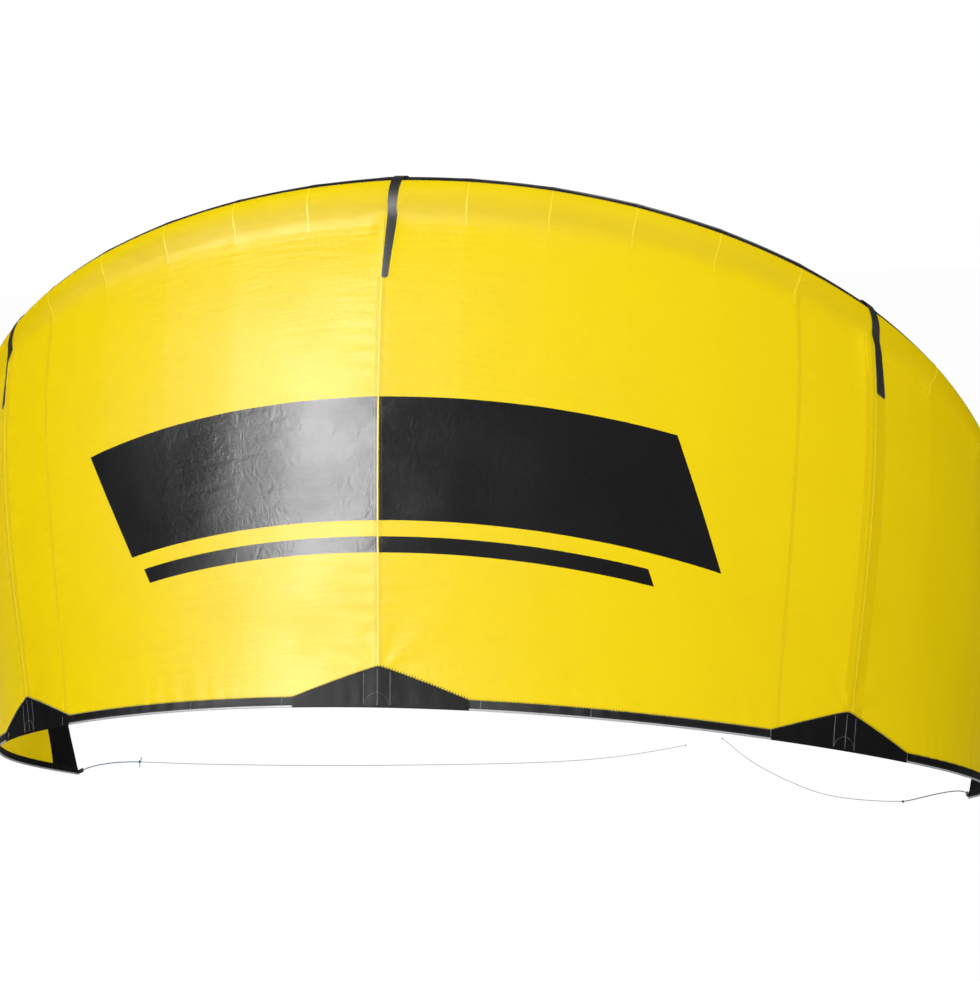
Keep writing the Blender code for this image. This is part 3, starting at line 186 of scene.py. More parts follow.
def tube_points(share, angle, clearance):
    """Points round the sewn tube, straight between seams: angle 0 faces out, 90 degrees the trailing edge."""
    share, angle, clearance = np.broadcast_arrays(np.asarray(share, float), angle, clearance)
    size = np.abs(share)
    after = np.clip(np.searchsorted(LE_SEAMS, size), 1, len(LE_SEAMS) - 1)
    low, high = LE_SEAMS[after - 1], LE_SEAMS[after]
    mix = ((size - low) / (high - low))[..., None]
    side = np.where(share < 0, -1.0, 1.0)
    straight = ring_points(side * low, angle, clearance) * (1 - mix)
    straight = straight + ring_points(side * high, angle, clearance) * mix
    full = (BULGE * (0.5 + 0.5 * np.cos(angle - BULGE_MIDDLE)) ** BULGE_POWER)[..., None]
    return straight * (1 - full) + ring_points(share, angle, clearance) * full


def chord_ends(u):
    return tube_points(le_share(u), ATTACH_ANGLE, CANOPY_SEAT), trailing_points(u)


def chord_length(u):
    front, rear = chord_ends(u)
    return np.linalg.norm(rear - front, axis=-1)


def surface(u, v):
    u, v = np.broadcast_arrays(np.asarray(u, float), np.asarray(v, float))
    front, rear = chord_ends(u)
    outward = tube_frames(le_share(u))[3]
    peak = (1 / (1 + CAMBER_TAIL)) * (CAMBER_TAIL / (1 + CAMBER_TAIL)) ** CAMBER_TAIL
    size = np.abs(u)
    outer = (size - STRUT_TE_SHARE) / (1 - STRUT_TE_SHARE)
    bay = np.where(size <= STRUT_TE_SHARE, size / STRUT_TE_SHARE, outer)
    camber = CAMBER_SHARE * np.linalg.norm(rear - front, axis=-1) * v * (1 - v) ** CAMBER_TAIL / peak
    flat = BAY_FLATTENING * np.sin(math.pi * bay) * (1 - (2 * v - 1) ** 4)
    return front + (rear - front) * v[..., None] + outward * (camber - flat)[..., None]


def surface_normal(u, v):
    u, v = np.broadcast_arrays(np.asarray(u, float), np.asarray(v, float))
    along = surface(np.minimum(u + PROBE, 1.0), v) - surface(np.maximum(u - PROBE, -1.0), v)
    down = surface(u, np.minimum(v + PROBE, 1.0)) - surface(u, np.maximum(v - PROBE, 0.0))
    return unit(np.cross(down, along))


# Folds of the cloth under tension, all worked out from the seams that cause them
SPAN_METRES = TE_PLAN_HALF
PANEL_SEAMS = (-0.745, -0.415, 0.415, 0.745)
RIDGE_DROP, RIDGE_WIDTH = 0.007, 0.12
TUBE_DIP, TUBE_DIP_WIDTH, TUBE_DIP_CLEAR = 0.0108, 0.058, 0.035
# Wave length, reach and height of the small folds beside each kind of seam
PANEL_PUCKERS, STRUT_PUCKERS = (0.052, 0.055, 0.0013), (0.064, 0.075, 0.0012)
HEM_PUCKERS = (0.066, 0.075, 0.0014)
FAN_HEIGHT, FAN_REACH, FAN_CLEAR, FAN_FOLDS = 0.0016, 0.20, 0.03, 8.0
SEAM_WAVE, SEAM_REACH, SEAM_RUN = 0.0010, 0.06, 0.09
STREAK_HEIGHT, STREAK_WAVE, STREAK_REACH, STREAK_MIDDLE = 0.0008, 0.025, 0.085, 0.06
STRUT_CLEAR, RIDGE_CLEAR, TUBE_CLEAR = 0.018, 0.010, 0.02


def faded(distance, reach):
    """1 at a line, fading with the distance from it as a bell."""
    return np.exp(-(distance / reach) ** 2)


def puckers(away, along, wave, reach, depth, phase):
    """Small folds square to a seam, which fade with the distance from it."""
    drift = 0.55 * np.sin(along * 6.1 + phase) + 0.3 * np.sin(along * 15.7 + 2 * phase)
    ripple = np.sin(2 * math.pi * along / wave + drift * 3 + 9 * away)
    uneven = 0.55 + 0.45 * np.sin(along * 9.3 + 3 * phase)
    return depth * ripple * uneven * np.exp(-(away / reach) ** 1.2) * (1 - faded(away, 0.012))


def folds(u, v):
    """Height of the cloth's folds over the smooth arc."""
    u, v = np.broadcast_arrays(np.asarray(u, float), np.asarray(v, float))
    length = chord_length(u)
    x, y = u * SPAN_METRES, v * length
    rise = 0.0011 * np.sin(x * 5.3 + 1.3 * np.sin(y * 3.1)) * np.sin(y * 4.7 + 0.8 * np.sin(x * 2.3))
    rise = rise + 0.0004 * np.sin(x * 23.0 + 2.0 * np.sin(y * 2.1)) * np.sin(y * 2.9 + x)
    for k, seam in enumerate(PANEL_SEAMS):
        away = np.abs(x - seam * SPAN_METRES)
        rise = rise + puckers(away, y, *PANEL_PUCKERS, 1.7 * k + 0.4)
    for k, (_, line) in enumerate(STRUT_WORDS):
        away = np.abs(x - line * SPAN_METRES)
        rise = rise + puckers(away, y, *STRUT_PUCKERS, 2.1 * k + 1.1)
        low = np.maximum(length * (1 - v) - PATCH_HEIGHT, 0.0)
        reach = np.hypot(away, low) + 1e-6
        fan = np.arctan2(x - line * SPAN_METRES, low + 0.02)
        rays = FAN_HEIGHT * np.sin(fan * FAN_FOLDS + k)
        rise = rise + rays * np.exp(-reach / FAN_REACH) * (1 - faded(reach, FAN_CLEAR))
    rise = rise + puckers(length * (1 - v), x, *HEM_PUCKERS, 0.7)
    for seam in np.concatenate([-LE_SEAMS[1:], LE_SEAMS]):
        away = np.abs(x - float(te_share(seam)) * SPAN_METRES)
        rise = rise + SEAM_WAVE * np.cos(away * 55.0) * faded(away, SEAM_REACH) * np.exp(-y / SEAM_RUN)
        streaks = np.sin(2 * math.pi * y / STREAK_WAVE + 3.1 * seam + 9 * away)
        close = faded(away, STREAK_REACH) * faded(y - STREAK_MIDDLE, STREAK_MIDDLE)
        rise = rise + STREAK_HEIGHT * streaks * close
    nearest = np.min([np.abs(x - line * SPAN_METRES) for _, line in STRUT_WORDS], axis=0)
    rise = rise * (1 - faded(nearest, STRUT_CLEAR)) * (1 - faded(y, TUBE_CLEAR))
    arch = np.sin(math.pi * np.clip(v, 0.0, 1.0)) ** 0.5
    ridge = RIDGE_DROP * (np.exp(-nearest / RIDGE_WIDTH) - 1.0) * arch
    dip = -TUBE_DIP * (y / TUBE_DIP_WIDTH) * np.exp(1 - y / TUBE_DIP_WIDTH)
    dip = dip * (1 - faded(nearest, TUBE_DIP_CLEAR))
    return rise + ridge * (1 - faded(nearest, RIDGE_CLEAR)) + dip


def canopy_points(u, v, height=0.0):
    """Points over the canopy, height metres from the middle of its cloth."""
    u, v = np.broadcast_arrays(np.asarray(u, float), np.asarray(v, float))
    lift = folds(u, v) + height
    return surface(u, v) + surface_normal(u, v) * lift[..., None]


def hem_top(u):
    return 1 - HEM_WIDTH / chord_length(u)


# Meshes

# Angles from which an edge of cloth, an edge of a moulding and a bevelled edge count as sharp
EDGE_DEGREES, RIGID_DEGREES, BEVEL_DEGREES = 55, 35, 40


def grid_faces(rows, columns, wrap=False):
    index = np.arange(rows * columns).reshape(rows, columns)
    if wrap:
        index = np.concatenate([index, index[:, :1]], axis=1)
    corners = (index[:-1, :-1], index[1:, :-1], index[1:, 1:], index[:-1, 1:])
    return np.stack(corners, -1).reshape(-1, 4)


def linked(item):
    bpy.context.scene.collection.objects.link(item)
    return item


def add_mesh(name, points, faces, finishes, uv=None, face_finish=None):
    """A shaded mesh object from arrays; uv has one pair for each corner of each face."""
    mesh = bpy.data.meshes.new(name)
    mesh.from_pydata(np.asarray(points, float).reshape(-1, 3), [], faces)
    if uv is not None:
        layer = mesh.uv_layers.new(name="cloth_metres")
        layer.data.foreach_set("uv", np.asarray(uv, np.float32).ravel())
    for finish in finishes:
        mesh.materials.append(finish)
    if face_finish is not None:
        mesh.polygons.foreach_set("material_index", np.asarray(face_finish, np.int32).ravel())
    mesh.polygons.foreach_set("use_smooth", np.ones(len(mesh.polygons), bool))
    mesh.update()
    return linked(bpy.data.objects.new(name, mesh))


def grid_uv(x, y):
    """Corner UVs of a grid from its points' UVs; a closed ring's last column is given one step on."""
    corners = []
    for i, j in ((0, 0), (1, 0), (1, 1), (0, 1)):
        rows = slice(i, x.shape[0] - 1 + i)
        columns = slice(j, x.shape[1] - 1 + j)
        corners.append(np.stack([x[rows, columns], y[rows, columns]], -1))
    return np.stack(corners, 2).reshape(-1, 2)


def use_only(item):
    bpy.ops.object.select_all(action="DESELECT")
    item.select_set(True)
    bpy.context.view_layer.objects.active = item


def smooth(item, degrees):
    """Shade smooth, but sharp where faces meet at more than an angle."""
    use_only(item)
    bpy.ops.object.shade_smooth_by_angle(angle=math.radians(degrees))
    item.select_set(False)
    return item


def face_out(item, fill=True):
    """Point all faces of a tube out, after filling its open ends."""
    use_only(item)
    bpy.ops.object.mode_set(mode="EDIT")
    bpy.ops.mesh.select_all(action="SELECT")
    if fill:
        bpy.ops.mesh.fill_holes(sides=0)
    bpy.ops.mesh.normals_make_consistent(inside=False)
    bpy.ops.mesh.select_all(action="DESELECT")
    bpy.ops.object.mode_set(mode="OBJECT")
    item.select_set(False)
    return item


def apply_modifiers(item):
    use_only(item)
    for step in list(item.modifiers):
        bpy.ops.object.modifier_apply(modifier=step.name)
    item.select_set(False)
    return item


def thicken(item, thickness, offset=0.0):
    step = item.modifiers.new("wall", "SOLIDIFY")
    step.thickness = thickness
    step.offset = offset
    return smooth(apply_modifiers(item), EDGE_DEGREES)


def cloth_grid(name, points, x, y, thickness, finishes, offset=0.0, face_finish=None):
    """A sheet of cloth on a grid of points, whose faces point along rising rows cross rising columns."""
    faces = grid_faces(points.shape[0], points.shape[1])
    item = add_mesh(name, points, faces, finishes, grid_uv(x, y), face_finish)
    return thicken(item, thickness, offset)


def spaced(start, end, step):
    return np.linspace(start, end, max(2, int(round(abs(end - start) / step)) + 1))


# Shader nodes

def put(tree, socket, value):
    """Link another node's output to a socket, or set the socket to a value."""
    if isinstance(value, bpy.types.NodeSocket):
        tree.links.new(value, socket)
    elif value is not None:
        socket.default_value = value


def add_node(tree, kind, inputs, **settings):
    """A new node; inputs gives a value or an output for each socket, by its name or place."""
    made = tree.nodes.new("ShaderNode" + kind)
    for label, value in settings.items():
        setattr(made, label, value)
    for label, value in inputs.items():
        put(tree, made.inputs[label], value)
    return made


def calc(tree, operation, first, second=None, third=None):
    """A Math node; each value is a number or another node's output."""
    return add_node(tree, "Math", {0: first, 1: second, 2: third}, operation=operation).outputs[0]


def sine(tree, value, factor):
    return calc(tree, "SINE", calc(tree, "MULTIPLY", value, factor))


def mix_colour(tree, share, first, second):
    """A colour Mix node; each colour is three numbers or another node's output."""
    inputs = {0: share}
    for place, colour in ((6, first), (7, second)):
        inputs[place] = (*colour, 1.0) if isinstance(colour, tuple) else colour
    return add_node(tree, "Mix", inputs, data_type="RGBA").outputs[2]


def tinted(tree, base, colour, mask, share):
    """A base colour with another laid over it, a share of a mask strong."""
    return mix_colour(tree, calc(tree, "MULTIPLY", mask, share), base, colour)


def noise(tree, vector, scale, detail=3.0, roughness=0.5, distortion=0.0):
    inputs = {"Vector": vector, "Scale": scale, "Detail": detail, "Roughness": roughness}
    return add_node(tree, "TexNoise", {**inputs, "Distortion": distortion}).outputs["Fac"]


def ranged(tree, value, start, end, low=0.0, high=1.0):
    """A value's way from start to end, given as low to high."""
    inputs = {"Value": value, "From Min": start, "From Max": end, "To Min": low, "To Max": high}
    return add_node(tree, "MapRange", inputs).outputs[0]


def stretched(tree, vector, x, y, z=1.0):
    return add_node(tree, "Mapping", {"Vector": vector, "Scale": (x, y, z)}).outputs["Vector"]


def parts(tree, vector):
    return add_node(tree, "SeparateXYZ", {0: vector}).outputs


def coordinates(tree, kind):
    return tree.nodes.new("ShaderNodeTexCoord").outputs[kind]


def bump(tree, height, distance, strength=1.0, normal=None):
    inputs = {"Height": height, "Distance": distance, "Strength": strength, "Normal": normal}
    return add_node(tree, "Bump", inputs).outputs[0]


def group(name, number, *results):
    """A node group with a vector and perhaps a number as inputs, and its results as outputs."""
    made = bpy.data.node_groups.new(name, "ShaderNodeTree")
    made.interface.new_socket("Vector", in_out="INPUT", socket_type="NodeSocketVector")
    if number:
        made.interface.new_socket(number, in_out="INPUT", socket_type="NodeSocketFloat")
    for label in results:
        made.interface.new_socket(label, in_out="OUTPUT", socket_type="NodeSocketFloat")
    return made, made.nodes.new("NodeGroupInput").outputs, made.nodes.new("NodeGroupOutput").inputs


def weave_group():
    """Plain weave: threads that rise and dip in turn."""
    tree, given, result = group("plain_weave", "Thread", "Height")
    waves = [sine(tree, calc(tree, "DIVIDE", value, given["Thread"]), math.pi)
             for value in parts(tree, given["Vector"])[:2]]
    put(tree, result["Height"], calc(tree, "MULTIPLY_ADD", calc(tree, "MULTIPLY", *waves), 0.5, 0.5))
    return tree


def ripstop_group():
    """Thicker threads in a square grid."""
    tree, given, result = group("ripstop_grid", "Spacing", "Mask")
    lines = []
    for value in parts(tree, given["Vector"])[:2]:
        place = calc(tree, "FRACT", calc(tree, "DIVIDE", value, given["Spacing"]))
        away = calc(tree, "ABSOLUTE", calc(tree, "SUBTRACT", place, 0.5))
        lines.append(calc(tree, "GREATER_THAN", away, RIPSTOP_HALF_CELL))
    put(tree, result["Mask"], calc(tree, "MAXIMUM", *lines))
    return tree


def crease_group():
    """Fine creases left in the cloth by packing, sharp on one side."""
    tree, given, result = group("packing_creases", None, "Height")
    drawn = noise(tree, stretched(tree, given["Vector"], 4.5, 34.0), 1.0, 2.5, 0.5, 0.4)
    patchy = noise(tree, stretched(tree, given["Vector"], 2.2, 3.0), 1.0, 1.0)
    fine_ones = noise(tree, stretched(tree, given["Vector"], 26.0, 19.0), 1.0, 2.0, 0.45, 0.9)
    ridge = calc(tree, "ABSOLUTE", calc(tree, "SUBTRACT", fine_ones, 0.5))
    broad = calc(tree, "MULTIPLY", drawn, patchy)
    put(tree, result["Height"], calc(tree, "MULTIPLY_ADD", ridge, -0.45, broad))
    return tree


def soil_group():
    """A share from 0 to 1 of handling marks and dust."""
    tree, given, result = group("handling_marks", "Scale", "Mask")
    put(tree, result["Mask"], ranged(tree, noise(tree, given["Vector"], given["Scale"], 5.0), 0.42, 0.72))
    return tree


def braid_group():
    """Strands that cross in both directions round a cord, from UVs in metres."""
    tree, given, result = group("braided_strands", "Strand", "Height", "Fleck")
    rise, turn = [calc(tree, "DIVIDE", value, given["Strand"]) for value in parts(tree, given["Vector"])[:2]]
    ways = [sine(tree, calc(tree, kind, rise, turn), math.pi) for kind in ("ADD", "SUBTRACT")]
    put(tree, result["Height"], calc(tree, "MAXIMUM", *ways))
    put(tree, result["Fleck"], calc(tree, "GREATER_THAN", calc(tree, "MULTIPLY", *ways), 0.45))
    return tree


RIPSTOP_HALF_CELL = 0.44
GROUPS = {
    "weave": weave_group(), "ripstop": ripstop_group(), "creases": crease_group(),
    "soil": soil_group(), "braid": braid_group(),
}


def use_group(tree, name, vector, number=None):
    inputs = {"Vector": vector} if number is None else {"Vector": vector, 1: number}
    return add_node(tree, "Group", inputs, node_tree=GROUPS[name]).outputs


# Materials

YELLOW, YELLOW_DEEP = (0.88, 0.655, 0.003), (0.82, 0.585, 0.001)
# Band yellow: darker than the canopy, as painted shade on the cloth over the tube
# Fold yellow: paler than the canopy, as a painted highlight on the raised seams
# Tape yellow: darker than the canopy, as painted shade where the doubled cloth and the struts behind it let
# less light through
TAPE_SHADE_YELLOW, FOLD_HIGHLIGHT_YELLOW, PAINTED_SHADE_YELLOW = (0.80, 0.575, 0.002), (0.90, 0.71, 0.035), (0.70, 0.50, 0.001)
DARK, DARK_WORN, PRINT_BLACK = (0.0045, 0.0045, 0.005), (0.016, 0.016, 0.017), (0.008, 0.008, 0.009)
DART_BLACK, DART_WORN = (0.020, 0.020, 0.019), (0.050, 0.050, 0.046)
# Printed bands: top, bottom and half width in metres, and how much their ends lean
STRIPE_BANDS, STRIPE_SLANT = ((0.60, 0.985, 0.97), (1.035, 1.085, 0.83)), 0.42
# Cloth shines less where it is seen at a slant: shares of slant where that starts and ends, and what is left
SLANT_FROM, SLANT_TO, SLANT_LEFT = 0.12, 0.45, 0.08
# Half width of the change to rougher cloth over the tube, then the middle and width of the band of painted
# shade there
BAND_HALF, BAND_MIDDLE, BAND_WIDTH = 0.03, 0.022, 0.045


def start_material(name, roughness, specular=0.5):
    made = bpy.data.materials.new(name)
    made.use_nodes = True
    shader = made.node_tree.nodes["Principled BSDF"]
    shader.inputs["Roughness"].default_value = roughness
    shader.inputs["Specular IOR Level"].default_value = specular
    return made, made.node_tree, shader


def connect(tree, shader, base, normal, rough=None):
    put(tree, shader.inputs["Base Color"], base)
    put(tree, shader.inputs["Roughness"], rough)
    put(tree, shader.inputs["Normal"], normal)


def cloth_material(name, colour, worn, roughness, thread, grid, specular, stripe=False, rib=0.0):
    """Woven cloth on UVs in metres: weave, ripstop grid, packing creases and marks from handling."""
    made, tree, shader = start_material(name, roughness, specular)
    place = coordinates(tree, "UV")
    x, y, _ = parts(tree, place)
    soil = use_group(tree, "soil", place, 3.0)["Mask"]
    base = tinted(tree, colour, worn, soil, 0.35)
    base = tinted(tree, base, worn, noise(tree, stretched(tree, place, 1.0, 0.35), 9.0, 4.0), 0.22)
    rough = calc(tree, "MULTIPLY_ADD", soil, 0.12, roughness - 0.03)
    normal = bump(tree, use_group(tree, "weave", place, thread)["Height"], 0.00003, 0.6)
    if grid:
        squares = use_group(tree, "ripstop", place, grid)["Mask"]
        base = tinted(tree, base, worn, squares, 0.30)
        normal = bump(tree, squares, 0.00004, 0.6, normal)
        normal = bump(tree, use_group(tree, "creases", place)["Height"], 0.0030, 0.9, normal)
    if rib:
        normal = bump(tree, sine(tree, x, 2 * math.pi / rib), 0.00025, 0.7, normal)
    if stripe:
        over, shade = tube_band(tree, y)
        # Painted shade: the cloth over the tube is mixed towards a darker yellow
        base = mix_colour(tree, shade, base, PAINTED_SHADE_YELLOW)
        rough = calc(tree, "MULTIPLY_ADD", over, 0.32, rough)
        mask = stripe_mask(tree, x, y)
        base = mix_colour(tree, mask, base, PRINT_BLACK)
        rough = calc(tree, "MULTIPLY_ADD", mask, -0.16, rough)
    slant = add_node(tree, "LayerWeight", {"Blend": 0.5}).outputs["Facing"]
    shine = ranged(tree, slant, SLANT_FROM, SLANT_TO, specular, specular * SLANT_LEFT)
    put(tree, shader.inputs["Specular IOR Level"], shine)
    connect(tree, shader, base, normal, rough)
    return made


def tube_band(tree, y):
    """Cloth drawn over the tube: where it lies on it, and a band of painted shade, a darker yellow, on the
    tube just before the canopy rises from it.
    """
    over = ranged(tree, y, BAND_HALF, -BAND_HALF)
    near = calc(tree, "DIVIDE", calc(tree, "ADD", y, BAND_MIDDLE), BAND_WIDTH)
    shade = calc(tree, "EXPONENT", calc(tree, "MULTIPLY", calc(tree, "MULTIPLY", near, near), -1.0))
    return over, calc(tree, "MULTIPLY", shade, 0.55)


def stripe_mask(tree, x, y):
    """A broad printed band with a thin one under it, across the two middle bays, with slanted ends."""
    bands = []
    for top, bottom, half in STRIPE_BANDS:
        middle = (top + bottom) / 2
        shift = calc(tree, "MULTIPLY_ADD", y, -STRIPE_SLANT, STRIPE_SLANT * middle)
        across = calc(tree, "LESS_THAN", calc(tree, "ABSOLUTE", calc(tree, "ADD", x, shift)), half)
        away = calc(tree, "ABSOLUTE", calc(tree, "SUBTRACT", y, middle))
        bands.append(calc(tree, "MULTIPLY", across, calc(tree, "LESS_THAN", away, (bottom - top) / 2)))
    return calc(tree, "MAXIMUM", *bands)


def cord_material(name, colour, fleck, strand):
    made, tree, shader = start_material(name, 0.65, 0.15)
    place = coordinates(tree, "UV")
    strands = use_group(tree, "braid", place, strand)
    base = tinted(tree, colour, fleck, strands["Fleck"], 0.5)
    base = tinted(tree, base, fleck, use_group(tree, "soil", place, 14.0)["Mask"], 0.4)
    connect(tree, shader, base, bump(tree, strands["Height"], 0.0003, 0.9))
    return made


def webbing_material(name, colour, worn, pitch):
    """Herringbone webbing on UVs in metres."""
    made, tree, shader = start_material(name, 0.75, 0.2)
    place = coordinates(tree, "UV")
    x, y, _ = parts(tree, place)
    ribs = sine(tree, calc(tree, "ADD", x, calc(tree, "PINGPONG", y, pitch * 3)), 2 * math.pi / pitch)
    base = mix_colour(tree, calc(tree, "MULTIPLY_ADD", ribs, 0.18, 0.22), colour, worn)
    base = tinted(tree, base, worn, use_group(tree, "soil", place, 40.0)["Mask"], 0.3)
    connect(tree, shader, base, bump(tree, ribs, 0.0003, 0.8))
    return made


def plastic_material(name, colour, worn, roughness):
    """Moulded plastic: fine spark grain, faint flow marks and paler worn edges."""
    made, tree, shader = start_material(name, roughness, 0.5)
    place = coordinates(tree, "Object")
    flow = noise(tree, stretched(tree, place, 60.0, 90.0, 40.0), 1.0, 3.0)
    edge = tree.nodes.new("ShaderNodeNewGeometry").outputs["Pointiness"]
    wear = calc(tree, "MULTIPLY", calc(tree, "GREATER_THAN", edge, 0.56), noise(tree, place, 220.0, 3.0))
    base = tinted(tree, tinted(tree, colour, worn, flow, 0.35), worn, wear, 0.5)
    grain = bump(tree, noise(tree, place, 1400.0, 2.0), 0.00008, 0.7)
    connect(tree, shader, base, grain, calc(tree, "MULTIPLY_ADD", flow, 0.15, roughness - 0.07))
    return made


def darker(colour, share):
    return tuple(share * part for part in colour)


def film_material(name, colour, roughness, weight):
    """Clear film or rubber: a little light passes, with cloudy streaks."""
    made, tree, shader = start_material(name, roughness, 0.5)
    place = coordinates(tree, "Object")
    cloud = noise(tree, place, 45.0, 4.0)
    streaks = bump(tree, noise(tree, place, 300.0, 2.0), 0.0002, 0.5)
    rough = calc(tree, "MULTIPLY_ADD", cloud, 0.2, roughness - 0.1)
    connect(tree, shader, tinted(tree, colour, darker(colour, 0.8), cloud, 0.4), streaks, rough)
    shader.inputs["Transmission Weight"].default_value = weight
    return made


def thread_material(name, colour):
    made, tree, shader = start_material(name, 0.6, 0.15)
    twist = noise(tree, coordinates(tree, "Object"), 900.0, 2.0)
    base = tinted(tree, colour, darker(colour, 0.6), twist, 0.5)
    connect(tree, shader, base, bump(tree, twist, 0.0002, 0.6))
    return made


FINISH = {
    "canopy": cloth_material("ripstop_yellow", YELLOW, YELLOW_DEEP, 0.45, 0.0009, 0.0055, 0.05, stripe=True),
    # The tapes' darker yellow is painted shade
    "tape": cloth_material("seam_tape_painted_shade_yellow", TAPE_SHADE_YELLOW, YELLOW_DEEP, 0.45, 0.0009, 0, 0.05, stripe=True),
    # The raised seams' paler yellow is a painted highlight
    "seam_light": cloth_material("seam_fold_highlight_yellow", FOLD_HIGHLIGHT_YELLOW, YELLOW, 0.45, 0.0009, 0, 0.08),
    "black_cloth": cloth_material("ripstop_black", DARK, DARK_WORN, 0.55, 0.0009, 0.0055, 0.02),
    "tube": cloth_material("dacron_yellow", YELLOW, YELLOW_DEEP, 0.42, 0.0014, 0, 0.08),
    "tube_black": cloth_material("dacron_black", DARK, DARK_WORN, 0.46, 0.0014, 0, 0.08),
    "hem": cloth_material("hem_tape", DARK, DARK_WORN, 0.50, 0.0016, 0, 0.05, rib=0.0032),
    "patch": cloth_material("patch_cloth", DARK, DARK_WORN, 0.55, 0.0018, 0.0055, 0.025),
    "dart": cloth_material("dart_cloth", DART_BLACK, DART_WORN, 0.5, 0.0018, 0.0055, 0.12),
    "binding": cloth_material("binding_grey", (0.42, 0.43, 0.46), (0.30, 0.31, 0.33), 0.6, 0.0012, 0, 0.2),
    "webbing": webbing_material("webbing_black", (0.018, 0.018, 0.020), (0.075, 0.075, 0.080), 0.0018),
    "blue_cord": cord_material("braid_blue", (0.012, 0.080, 0.26), (0.060, 0.19, 0.40), 0.0011),
    "grey_cord": cord_material("braid_grey", (0.045, 0.047, 0.055), (0.24, 0.25, 0.27), 0.0009),
    "blue_line": cord_material("line_blue", (0.050, 0.19, 0.34), (0.20, 0.36, 0.50), 0.0008),
    "plastic": plastic_material("moulded_black", (0.020, 0.020, 0.022), (0.085, 0.085, 0.09), 0.45),
    "grey_plastic": plastic_material("moulded_grey", (0.30, 0.31, 0.33), (0.50, 0.51, 0.53), 0.45),
    "hose": film_material("hose_rubber_clear", (0.62, 0.66, 0.70), 0.38, 0.25),
    "film": film_material("bladder_film_clear", (0.72, 0.78, 0.82), 0.28, 0.35),
    "thread_black": thread_material("thread_black", (0.015, 0.015, 0.017)),
    "thread_grey": thread_material("thread_grey", (0.42, 0.43, 0.44)),
    "thread_yellow": thread_material("thread_yellow", (0.90, 0.68, 0.012)),
    "thread_dark": thread_material("thread_dark", (0.10, 0.10, 0.11)),
}


# Camera, light and floor

CAMERA_PLACE = (1.44418, -5.70840, 0.07642)
# Degrees: heading from straight ahead, tilt down, roll
CAMERA_TURNS = (11.515, 9.766, -2.32)
LENS, SENSOR_WIDTH = 66.06, 36.0
# Each softbox: direction, distance, width, height, watts, lights surfaces, shows as a reflection
SOFTBOXES = {
    "front_light": ((-0.03, -0.94, 0.30), 14.0, 5.0, 5.0, 1030.0, True, False),
    "back_light": ((0.10, 0.90, 0.45), 14.0, 5.0, 5.0, 900.0, True, True),
    "sheen_card": ((-0.50, -0.83, 0.27), 9.0, 2.4, 6.4, 10500.0, False, True),
}
LIGHT_AIM = Vector((0, 0.2, -0.9))
WORLD_LOW, WORLD_HIGH = 0.34, 0.80
FLOOR_TONE, FLOOR_DROP, FLOOR_SIZE = 0.34, 1.6, 160.0
FLOOR_GLOW, FLOOR_SHOWN = 1.03, 0.94
WHITE = (1, 1, 1, 1)


def make_camera():
    data = bpy.data.cameras.new("camera")
    data.lens, data.sensor_width = LENS, SENSOR_WIDTH
    data.clip_end = 200.0
    item = linked(bpy.data.objects.new("camera", data))
    heading, tilt, roll = CAMERA_TURNS
    turn = Matrix.Rotation(math.radians(heading), 4, "Z") @ Matrix.Rotation(math.radians(90 - tilt), 4, "X")
    turn = turn @ Matrix.Rotation(math.radians(roll), 4, "Z")
    item.matrix_world = Matrix.Translation(CAMERA_PLACE) @ turn
    bpy.context.scene.camera = item


def add_softbox(name, direction, distance, width, height, watts, lights, reflects):
    data = bpy.data.lights.new(name, "AREA")
    data.shape = "RECTANGLE"
    data.size, data.size_y, data.energy = width, height, watts
    item = linked(bpy.data.objects.new(name, data))
    item.location = LIGHT_AIM + Vector(direction).normalized() * distance
    item.rotation_mode = "QUATERNION"
    item.rotation_quaternion = (LIGHT_AIM - item.location).to_track_quat("-Z", "Y")
    item.visible_diffuse = lights
    item.visible_glossy = reflects


def shown_white(tree):
    """Where the background shows white: to the camera, mirrors and glass."""
    path = tree.nodes.new("ShaderNodeLightPath").outputs
    seen = calc(tree, "MAXIMUM", path["Is Camera Ray"], path["Is Glossy Ray"])
    return calc(tree, "MAXIMUM", seen, path["Is Transmission Ray"])


def shaded_by(tree, share, first, second, output):
    choose = add_node(tree, "MixShader", {0: share, 1: first.outputs[0], 2: second.outputs[0]})
    put(tree, tree.nodes[output].inputs["Surface"], choose.outputs[0])


def make_light():
    bpy.context.scene.view_settings.view_transform = "Standard"
    world = bpy.data.worlds.new("studio")
    bpy.context.scene.world = world
    world.use_nodes = True
    tree = world.node_tree
    soft = tree.nodes["Background"]
    soft.inputs["Color"].default_value = WHITE
    ways = {0: coordinates(tree, "Generated"), 1: (0.0, 0.0, 1.0)}
    rise = add_node(tree, "VectorMath", ways, operation="DOT_PRODUCT").outputs["Value"]
    put(tree, soft.inputs["Strength"], ranged(tree, rise, -0.5, 1.0, WORLD_LOW, WORLD_HIGH))
    white = add_node(tree, "Background", {"Color": WHITE, "Strength": 1.0})
    shaded_by(tree, shown_white(tree), soft, white, "World Output")
    for name, values in SOFTBOXES.items():
        add_softbox(name, *values)


def make_floor():
    bpy.ops.mesh.primitive_plane_add(size=FLOOR_SIZE, location=(0, 0, CAD_BOX[0].z - FLOOR_DROP))
    floor = bpy.context.active_object
    floor.name = "floor"
    made, tree, shader = start_material("floor_white", 0.9)
    shader.inputs["Base Color"].default_value = (FLOOR_TONE, FLOOR_TONE, FLOOR_TONE, 1)
    white = add_node(tree, "Emission", {"Strength": FLOOR_GLOW})
    shaded_by(tree, calc(tree, "MULTIPLY", shown_white(tree), FLOOR_SHOWN), shader, white, "Material Output")
    floor.data.materials.append(made)
    floor.select_set(False)


# Rear lines, which come first

